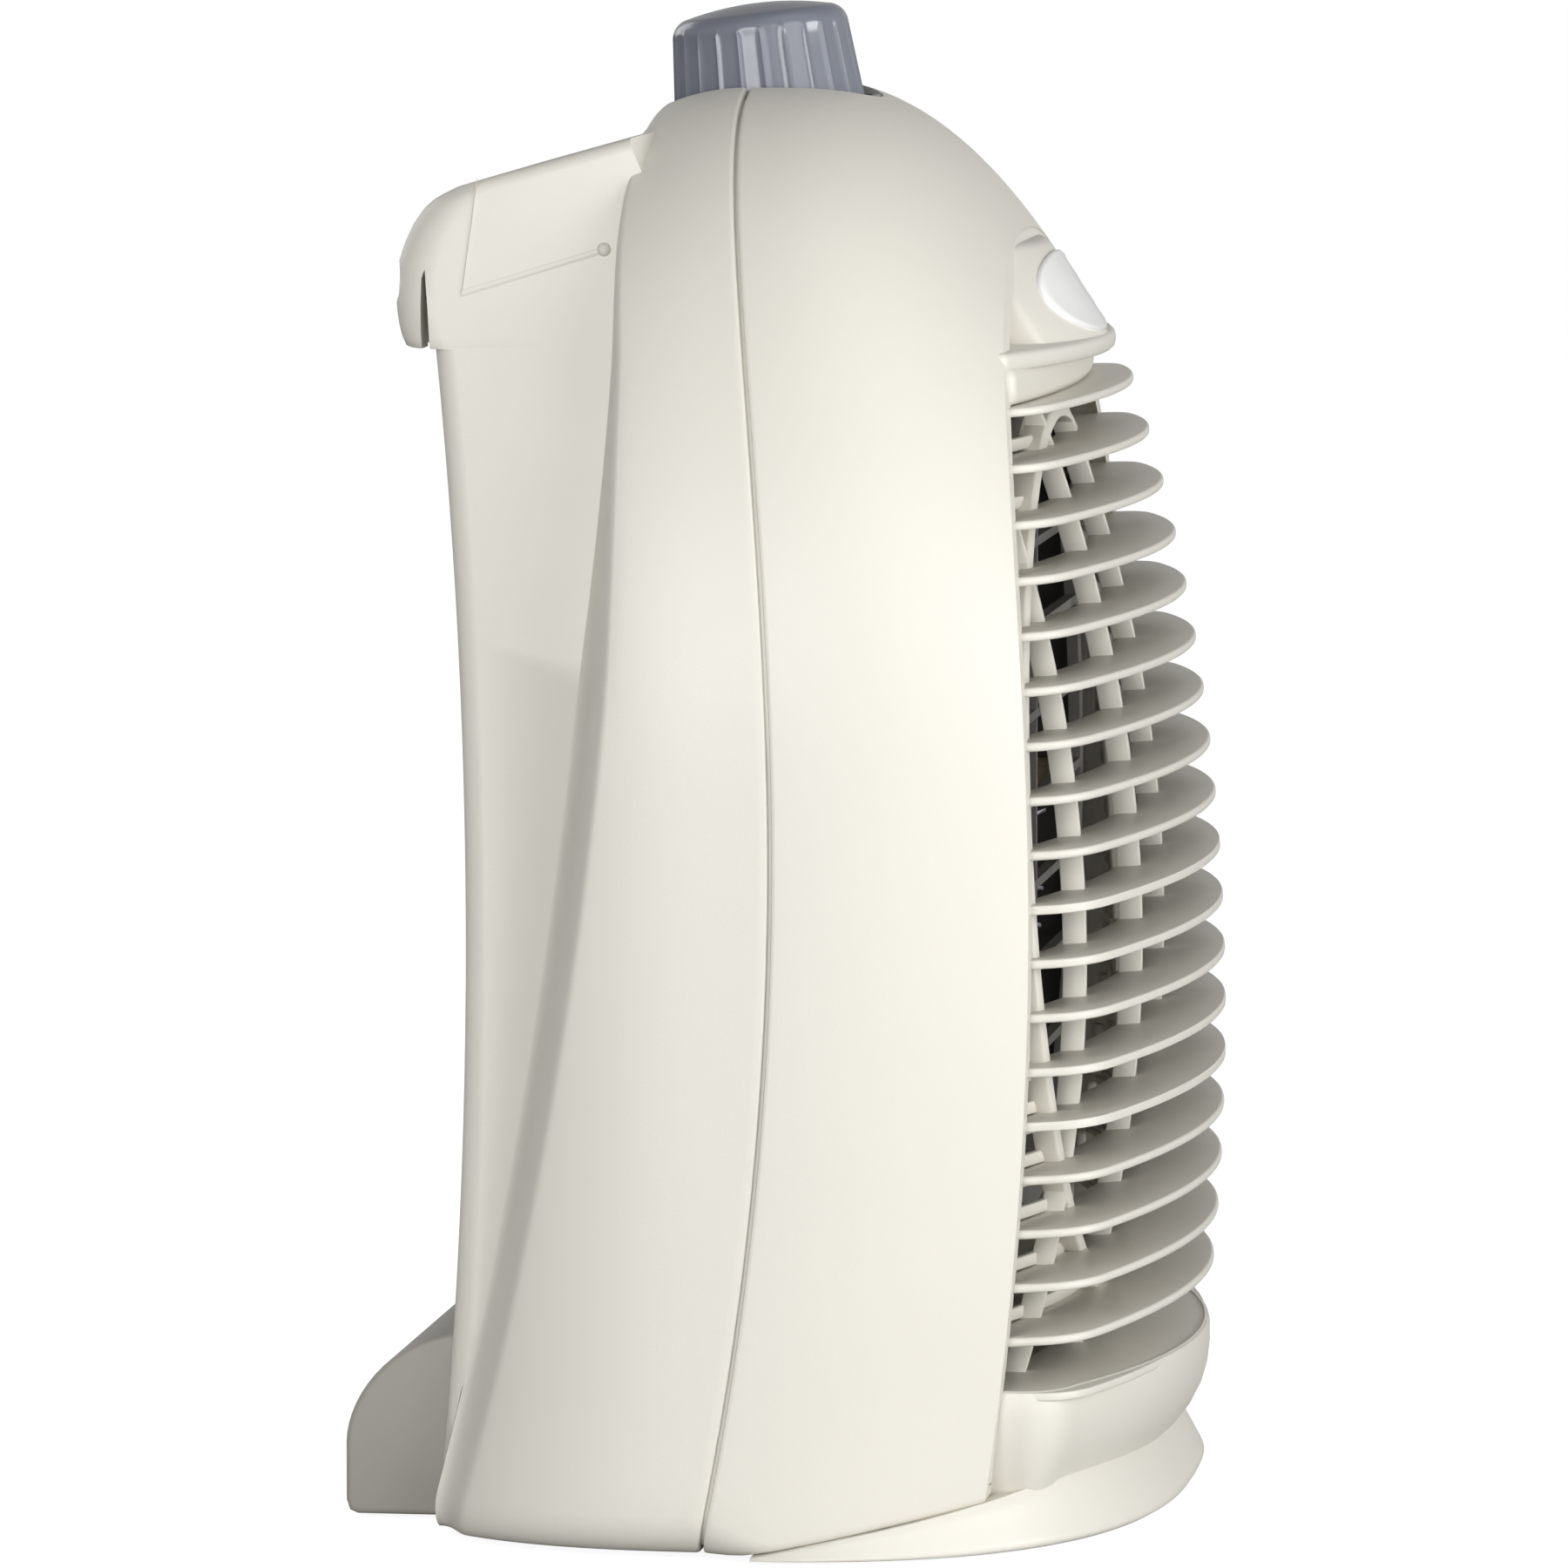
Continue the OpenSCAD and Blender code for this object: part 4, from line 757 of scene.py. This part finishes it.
louvre_parts = []
for i in range(fin_count):
    z = fin_top_h - i * fin_pitch
    half = frame_half_w(z) - 0.2
    root = rim_at(z) + 3
    depth = grid_at(z) + grid_depth / 2 - louvre_y(z)
    fin = plate("fin", fin_plan(louvre_y(z), depth, half, root), z - fin_t / 2, z + fin_t / 2,
                0.55, cream)
    pivot = place(0, rim_at(z), z)
    fin.data.transform(Matrix.Translation(pivot) @ Matrix.Rotation(-fin_tilt, 4, "X")
                       @ Matrix.Translation(-pivot))
    louvre_parts.append(fin)

# Upright ribs behind the fins
rib_t = 2
rib_steps = 30
for x in (-52.5, -17.5, 17.5, 52.5):
    rings = []
    for k in range(rib_steps + 1):
        z = lerp(18, fin_top_h + 3, k / rib_steps)
        y = grid_at(z) + bow_side(x)
        rings.append([(x + sx * rib_t / 2, y + sy * grid_depth / 2, z)
                      for sx, sy in ((-1, -1), (1, -1), (1, 1), (-1, 1))])
    rib = lofted("rib", rings, cream)
    bevelled(rib, 0.3, 2)
    louvre_parts.append(rib)

# The oval ring in the same bowl as the ribs
oval_a = 74.5
oval_b = 77
oval_mid_h = 112
oval_t = 2.2
rings = []
oval_steps = 120
for k in range(oval_steps):
    a = 2 * math.pi * k / oval_steps
    ring = []
    for cut, side in ((0, -1), (0, 1), (1, 1), (1, -1)):
        x = (oval_a - oval_t * cut) * math.cos(a)
        z = oval_mid_h + (oval_b - oval_t * cut) * math.sin(a)
        ring.append((x, grid_at(z) + bow_side(x) + side * grid_depth / 2, z))
    rings.append(ring)
oval = lofted("oval_ring", rings, cream, around=True)
bevelled(oval, 0.35, 2)
louvre_parts.append(oval)

# Outside the oval, long slots: bars above and under each fin, and an upright bar at the rim
strip_t = 1.6
bar_h = 2.2
lip_bar_h = 1.5
rim_bar_w = 3.2
bar_gap = 0.9
bar_steps = 12
for i in range(fin_count):
    z = fin_top_h - i * fin_pitch
    half = frame_half_w(z) - 1
    off = abs(z + 2 - oval_mid_h) / oval_b
    inner = oval_a * math.sqrt(1 - off * off) - oval_t / 2 if off < 1 else 0
    bars = [(inner, half, z + bar_gap, z + bar_gap + bar_h),
            (inner, half, z - bar_gap - lip_bar_h, z - bar_gap),
            (half - rim_bar_w, half, z + 0.8, z + fin_pitch - 0.8)]
    for x0, x1, z0, z1 in bars:
        if x1 - x0 < 2:
            continue
        for side in (-1, 1):
            rings = []
            for k in range(bar_steps + 1):
                x = lerp(x0, x1, k / bar_steps)
                y = grid_at(z) + bow_side(x) + grid_depth / 2 - strip_t
                rings.append([(side * x, y, z0), (side * x, y + strip_t, z0),
                              (side * x, y + strip_t, z1), (side * x, y, z1)])
            strip = lofted("strip", rings, cream)
            bevelled(strip, 0.4, 2)
            louvre_parts.append(strip)

# Frame band inside the rim
band_shares = (0.72, 0.8, 0.88, 0.95, 1)
band_t = 2
rings = [front_ring(t, frame_inset) for t in band_shares]
rings += [front_ring(t, frame_inset + band_t) for t in band_shares[::-1]]
louvre_parts.append(lofted("frame_band", rings, cream, around=True))

# Bezel under the lowest fin: a plain band whose lower edge rolls in over the base
bezel_h = 27.5
bezel_front = louvre_y(bezel_h) - 0.4
bezel_profile = [(2.2, bezel_h - 1.4), (0.9, bezel_h), (0.25, bezel_h - 0.3), (0, bezel_h - 1.2),
                 (0, 23), (0.35, 20), (1.2, 17), (2.7, 14), (4.6, 11.6), (6.5, 9.8), (8.5, 9.4),
                 (8.5, 12), (5, 15), (2.4, 20)]
bezel_r = 167
bezel_half = rim_half_w - frame_inset
bezel_path = []
bezel_corner = 10
bezel_steps = 40
corner_steps = 6
for k in range(bezel_steps + 1):
    x = lerp(-bezel_half + bezel_corner, bezel_half - bezel_corner, k / bezel_steps)
    y = bezel_r - math.sqrt(bezel_r ** 2 - x * x)
    bezel_path.append((x, y, math.asin(x / bezel_r)))
corner_x, corner_y, corner_a = bezel_path[-1]
for k in range(1, corner_steps + 1):
    a = corner_a + (math.pi / 2 - corner_a) * k / corner_steps
    across = bezel_corner * (math.sin(a) - math.sin(corner_a)) / (1 - math.sin(corner_a))
    bezel_path.append((corner_x + across,
                       corner_y + bezel_corner * (math.cos(corner_a) - math.cos(a)), a))
bezel_path.append((bezel_half, rim_at(bezel_h) + 4 - bezel_front, math.pi / 2))
left = [(-x, y, -a) for x, y, a in bezel_path[:bezel_steps:-1]]
rings = []
for x, y, a in left + bezel_path:
    sag = 2.6 * (abs(x) / bezel_half) ** 3
    rings.append([(x - d * math.sin(a), bezel_front + y + d * math.cos(a),
                   z - sag * max(0, 1 - (z - 9) / 8)) for d, z in bezel_profile])
louvre_parts.append(lofted("bezel_band", rings, cream))
shelf_plan = fin_plan(bezel_front + 1, grid_at(bezel_h) + 2 - bezel_front, bezel_half - 0.6,
                      rim_at(bezel_h) + 3)
louvre_parts.append(plate("bezel_shelf", shelf_plan, bezel_h - 1.6, bezel_h - 0.2, 0.3, cream))

# Nose: the sloped brow that carries the badge, more strongly bowed than the fins, with flat ends
nose_r = 70
nose_half_w = 31
nose_face_y = -56.6
nose_profile = [(18, 198), (1.5, 198), (-0.6, 199.8), (10.9, 217.6), (18, 217.8)]
nose_steps = 24
rings = []
for k in range(nose_steps + 1):
    x = lerp(-nose_half_w, nose_half_w, k / nose_steps)
    y = nose_face_y + nose_r - math.sqrt(nose_r ** 2 - x * x)
    rings.append([(x, y + d, z) for d, z in nose_profile])
nose = lofted("nose", rings, cream)
bevelled(nose, 1.6, 4, 30)
louvre_parts.append(nose)

# Beside the nose the arch is closed by a set-back panel, a ledge and a rounded panel under it
brow_half_w = 58
brow_back_y = -38
crown_half_w = 56.4
crown_low_h = 196
arch_half_w = 77.1
arch_h = rim_h - 2.9 - spring_h
crown_steps = 40
crown_edge = []
for k in range(crown_steps + 1):
    x = lerp(-crown_half_w, crown_half_w, k / crown_steps)
    rise = (1 - (abs(x) / arch_half_w) ** arch_n) ** (1 / arch_n)
    crown_edge.append((x, spring_h + arch_h * rise))
crown_edge += [(crown_half_w, crown_low_h), (-crown_half_w, crown_low_h)]
rings = [[(x, y, z) for x, z in crown_edge] for y in (-43.2, -41.4)]
louvre_parts.append(lofted("crown_panel", rings, cream))


def brow_plan(front_y, bend):
    """Plan of the ledge and the panel beside the nose: a bowed front and a straight back."""
    front = [(x, front_y + bend * x * x) for x in range(-brow_half_w, brow_half_w + 1, 2)]
    return front + [(brow_half_w, brow_back_y), (-brow_half_w, brow_back_y)]


louvre_parts.append(plate("ledge", brow_plan(-57.2, 0.0034), 198.1, 201.4, 1.2, cream))
louvre_parts.append(plate("brow_panel", brow_plan(-52, 0.0014), 192.3, 199, 2.0, cream))

louvre = joined("louvre_moulding", louvre_parts)
smooth(louvre)
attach(louvre, "body")
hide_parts("front_louvre")

# Badge: a bare oval of glossy white plastic, pressed on the brow and following its curve.
badge_white = moulded_plastic("badge_white", (0.86, 0.86, 0.85), 0.12, 2.0, 0.01, 0.01)
badge_a = 22.4
badge_b = 8.2
badge_h = 208.8
badge_lean = math.atan2(9.1, 14.2)


def badge_point(across, up, lift):
    """A point on the brow's sloped face, given along it and off it."""
    x = nose_r * math.sin(across / nose_r)
    y = nose_face_y + nose_r - nose_r * math.cos(across / nose_r)
    z = badge_h + up * math.cos(badge_lean)
    y += 0.5 + (z - 202) * math.tan(badge_lean)
    aside = math.sin(across / nose_r) * math.cos(badge_lean)
    return (x + lift * aside, y - lift * math.cos(badge_lean), z + lift * math.sin(badge_lean))


badge_steps = 72
badge_turn = [2 * math.pi * k / badge_steps for k in range(badge_steps)]
rings = []
for share, lift in ((1, -0.6), (1, 0.1), (0.985, 0.32), (0.955, 0.45), (0.92, 0.5), (0.88, 0.46),
                    (0.84, 0.42), (0.6, 0.44), (0.3, 0.45), (0.05, 0.45)):
    rings.append([badge_point(badge_a * share * math.cos(a), badge_b * share * math.sin(a), lift)
                  for a in badge_turn])
badge = lofted("badge_oval", rings, badge_white)
smooth(badge, 50)
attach(badge, "body")
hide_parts("badge_plate")

# Base plate: a boxy oval wedge of the same cream plastic, screwed under the front of the body.
# Its edge is rounded and stands a little proud of the band above it.
base_b = 72.6
base_n = 2.6
base_low = 0.7
base_back_y = -7.6
base_steps = 96


def base_outline(draw_in):
    """Half of the base's boxy oval plan, drawn in by some millimetres."""
    points = []
    for k in range(base_steps + 1):
        g = math.pi + math.pi * k / base_steps
        c, s = math.cos(g), math.sin(g)
        x = (half_w - draw_in) * math.copysign(abs(c) ** (2 / base_n), c)
        y = -(base_b - draw_in) * abs(s) ** (2 / base_n)
        points.append((x, min(y, base_back_y)))
    return points


rings = []
for draw_in, share in ((1.2, 0), (0.4, 0.04), (0.1, 0.1), (0.5, 0.18), (1.1, 0.27), (1.9, 0.4),
                       (2.8, 0.53), (3.4, 0.64), (4.0, 0.75), (4.8, 0.88), (6.2, 1.0)):
    ring = []
    for (x, y), (x0, y0) in zip(base_outline(0), base_outline(draw_in)):
        # The edge leans in at the front and stands nearly upright at the sides
        lean = lerp(0.2, 1, min(1, abs(y) / base_b) ** 3)
        top = max(base_at(y) - 0.02, base_low + 0.5)
        ring.append((lerp(x, x0, lean), lerp(y, y0, lean), lerp(base_low, top, share)))
    rings.append(ring)
base_plate = lofted("base_plate_moulding", rings, cream)
smooth(base_plate, 50)
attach(base_plate, "body")
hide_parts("base_plate")

# Rear foot: a quarter-round step moulded in a greyer cream plastic and hooked to the back, which
# # keeps the heater from tipping backwards. Its colour is darker still than that greyer plastic:
# # painted shade for the shadow it stands in behind the bulged sides.
foot_grey_and_painted_shade = moulded_plastic("foot_grey_and_painted_shade", (0.34, 0.325, 0.29), 0.45)
foot_half_w = 56
foot_top_h = 32.4
foot_back_y = 68.2
foot_low = 13
foot_gap = 0.3
foot_under = 0.6
foot_power = 1.1
foot_steps = 16
foot_profile = [(rear_wall_at(z) + foot_gap, z)
                for z in [foot_under + foot_top_h * k / 10 for k in range(11)]]
foot_front = rear_wall_at(foot_top_h) + foot_gap
for k in range(1, foot_steps + 1):
    a = math.pi / 2 * (1 - k / foot_steps)
    foot_profile.append((foot_front + (foot_back_y - foot_front) * math.cos(a) ** foot_power,
                         foot_low + (foot_top_h - foot_low) * math.sin(a) ** foot_power))
foot_profile += [(foot_back_y, 3), (foot_back_y - 0.6, 1.2), (foot_back_y - 2, foot_under)]
foot_piece = lofted("rear_foot_moulding", [[(x, y, z) for y, z in foot_profile]
                                           for x in (-foot_half_w, foot_half_w)], foot_grey_and_painted_shade)
bevelled(foot_piece, 1.2, 4, 50)
smooth(foot_piece)
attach(foot_piece, "body")
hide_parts("rear_foot")

# Control knob: blue-grey glossy plastic, turned by hand. Twenty-four shallow flutes run up its
# drafted side to a rounded shoulder and a low dome.
knob_grey = moulded_plastic("knob_grey", (0.17, 0.183, 0.22), 0.2, 1.2, 0.012, 0.03)
knob_r = 16.7
knob_top_r = 14.9
knob_height = 19
knob_base = 3.2
flutes = 24
flute_depth = 0.5
shoulder_r = 3.6
sides = flutes * 16
# Each station of the profile is a radius, a height and the share of the flutes' depth there
knob_profile = [(knob_r - 2.5, 0, 0), (knob_r - 0.5, 0, 0), (knob_r, 0.5, 1)]
straight_top = knob_height - 1.4 - shoulder_r
straight_steps = 12
for k in range(1, straight_steps + 1):
    t = k / straight_steps
    h = lerp(0.5, straight_top, t)
    knob_profile.append((lerp(knob_r, knob_top_r, h / knob_height), h, 1 if t < 0.9 else 0.9))
edge_r = knob_profile[-1][0]
shoulder_steps = 8
for k in range(1, shoulder_steps + 1):
    a = math.pi / 2 * k / shoulder_steps * 0.93
    knob_profile.append((edge_r - shoulder_r * (1 - math.cos(a)),
                         straight_top + shoulder_r * math.sin(a), max(0, 0.8 - 0.28 * k)))
cap_r, cap_h, _ = knob_profile[-1]
dome_steps = 8
for k in range(1, dome_steps + 1):
    r = cap_r * (1 - k / dome_steps)
    knob_profile.append((max(r, 0.02), cap_h + (knob_height - cap_h) * (1 - (r / cap_r) ** 2), 0))
work = bmesh.new()
rows = []
for radius, height, groove in knob_profile:
    row = []
    for k in range(sides):
        a = 2 * math.pi * k / sides
        wave = 1 - (1 - abs(math.cos(a * flutes / 2))) ** 2.2
        r = radius - flute_depth * groove * wave * 0.9
        row.append(work.verts.new(control_frame @ (Vector((r * math.cos(a), r * math.sin(a),
                                                           knob_base + height)) * mm)))
    rows.append(row)
for low, high in zip(rows, rows[1:]):
    for k in range(sides):
        n = (k + 1) % sides
        work.faces.new((low[k], low[n], high[n], high[k]))
work.faces.new(rows[0][::-1])
work.faces.new(rows[-1])
bmesh.ops.recalc_face_normals(work, faces=work.faces)
mesh = bpy.data.meshes.new("knob_cap")
work.to_mesh(mesh)
work.free()
knob = new_piece("knob_cap", mesh, knob_grey)
smooth(knob, 50)
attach(knob, "knob")
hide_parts("control_knob")


# Everything that stays as the solid model made it gets its own finish: the cup round the knob,
# the grilles, the heater's cards and wire, the fan, the motor, screws, bush and rubber pads.
def metal(name, colour, roughness, streak=(1, 1, 1), scale=900):
    """Metal with fine working marks, drawn out along one axis by streak."""
    material = bpy.data.materials.new(name)
    material.use_nodes = True
    tree = material.node_tree
    shader = tree.nodes["Principled BSDF"]
    shader.inputs["Metallic"].default_value = 1
    place_node = tree.nodes.new("ShaderNodeTexCoord")
    stretch = tree.nodes.new("ShaderNodeMapping")
    stretch.inputs["Scale"].default_value = streak
    marks = tree.nodes.new("ShaderNodeTexNoise")
    marks.inputs["Scale"].default_value = scale
    marks.inputs["Detail"].default_value = 3
    tint = tree.nodes.new("ShaderNodeMix")
    tint.data_type = "RGBA"
    tint.inputs[6].default_value = (*[c * 0.85 for c in colour], 1)
    tint.inputs[7].default_value = (*[min(1, c * 1.1) for c in colour], 1)
    gloss = tree.nodes.new("ShaderNodeMapRange")
    gloss.inputs["To Min"].default_value = roughness * 0.75
    gloss.inputs["To Max"].default_value = min(1, roughness * 1.3)
    bump = tree.nodes.new("ShaderNodeBump")
    bump.inputs["Strength"].default_value = 0.25
    bump.inputs["Distance"].default_value = 0.00003
    tree.links.new(place_node.outputs["Object"], stretch.inputs["Vector"])
    tree.links.new(stretch.outputs["Vector"], marks.inputs["Vector"])
    tree.links.new(marks.outputs["Fac"], tint.inputs[0])
    tree.links.new(tint.outputs[2], shader.inputs["Base Color"])
    tree.links.new(marks.outputs["Fac"], gloss.inputs["Value"])
    tree.links.new(gloss.outputs["Result"], shader.inputs["Roughness"])
    tree.links.new(marks.outputs["Fac"], bump.inputs["Height"])
    tree.links.new(bump.outputs[0], shader.inputs["Normal"])
    return material


grille_grey = moulded_plastic("grille_grey", (0.2, 0.195, 0.18), 0.5, 0.5, 0.06, 0.05)
rubber_black = moulded_plastic("rubber_black", (0.03, 0.03, 0.03), 0.8, 0.35, 0.12, 0.15)
heatproof_black = moulded_plastic("heatproof_black", (0.045, 0.043, 0.04), 0.55, 0.6, 0.08, 0.1)
heatproof_white = moulded_plastic("heatproof_white", (0.62, 0.6, 0.55), 0.5, 0.6, 0.06, 0.04)
fan_grey = moulded_plastic("fan_grey", (0.32, 0.33, 0.34), 0.38, 0.8, 0.03, 0.04)
mica_board = moulded_plastic("mica_board", (0.38, 0.31, 0.2), 0.45, 1.6, 0.15, 0.22)
winding_copper = metal("winding_copper", (0.55, 0.22, 0.09), 0.35, (1, 9, 1), 1200)
sheet_steel = metal("sheet_steel", (0.52, 0.53, 0.55), 0.32, (1, 1, 6), 500)
turned_steel = metal("turned_steel", (0.6, 0.6, 0.62), 0.25, (1, 14, 1), 500)
stacked_iron = metal("stacked_iron", (0.16, 0.16, 0.17), 0.55, (1, 30, 1), 90)
sintered_bronze = metal("sintered_bronze", (0.5, 0.34, 0.16), 0.5, (1, 1, 1), 2500)
resistance_wire = metal("resistance_wire", (0.6, 0.62, 0.68), 0.22, (1, 1, 1), 1500)
node_finish = {
    "inner_guard": grille_grey, "rear_grille": grille_grey, "rubber_feet": rubber_black,
    "dial_cup": knob_grey, "switch_spindle": turned_steel, "rotary_switch": heatproof_white,
    "switch_nut": turned_steel, "fan_impeller": fan_grey, "spinner_nut": turned_steel,
    "motor_shaft": turned_steel, "motor_rotor": stacked_iron, "motor_core": stacked_iron,
    "motor_coil": winding_copper, "front_bearing_bracket": sheet_steel,
    "rear_bearing_bracket": sheet_steel, "front_bearing": sintered_bronze,
    "rear_bearing": sintered_bronze, "motor_screws": turned_steel, "fan_housing": heatproof_black,
    "housing_screws": turned_steel, "heater_frame": mica_board,
    "outer_heating_coil": resistance_wire, "inner_heating_coil": resistance_wire,
    "thermal_cutout": heatproof_black, "thermal_fuse": heatproof_white,
    "terminal_block": heatproof_white, "inlet_bush": heatproof_black,
    "case_screws": turned_steel, "base_screws": turned_steel,
}
for node_name, finish in node_finish.items():
    node = frame["nodes"][node_name]
    node.data.materials.clear()
    node.data.materials.append(finish)
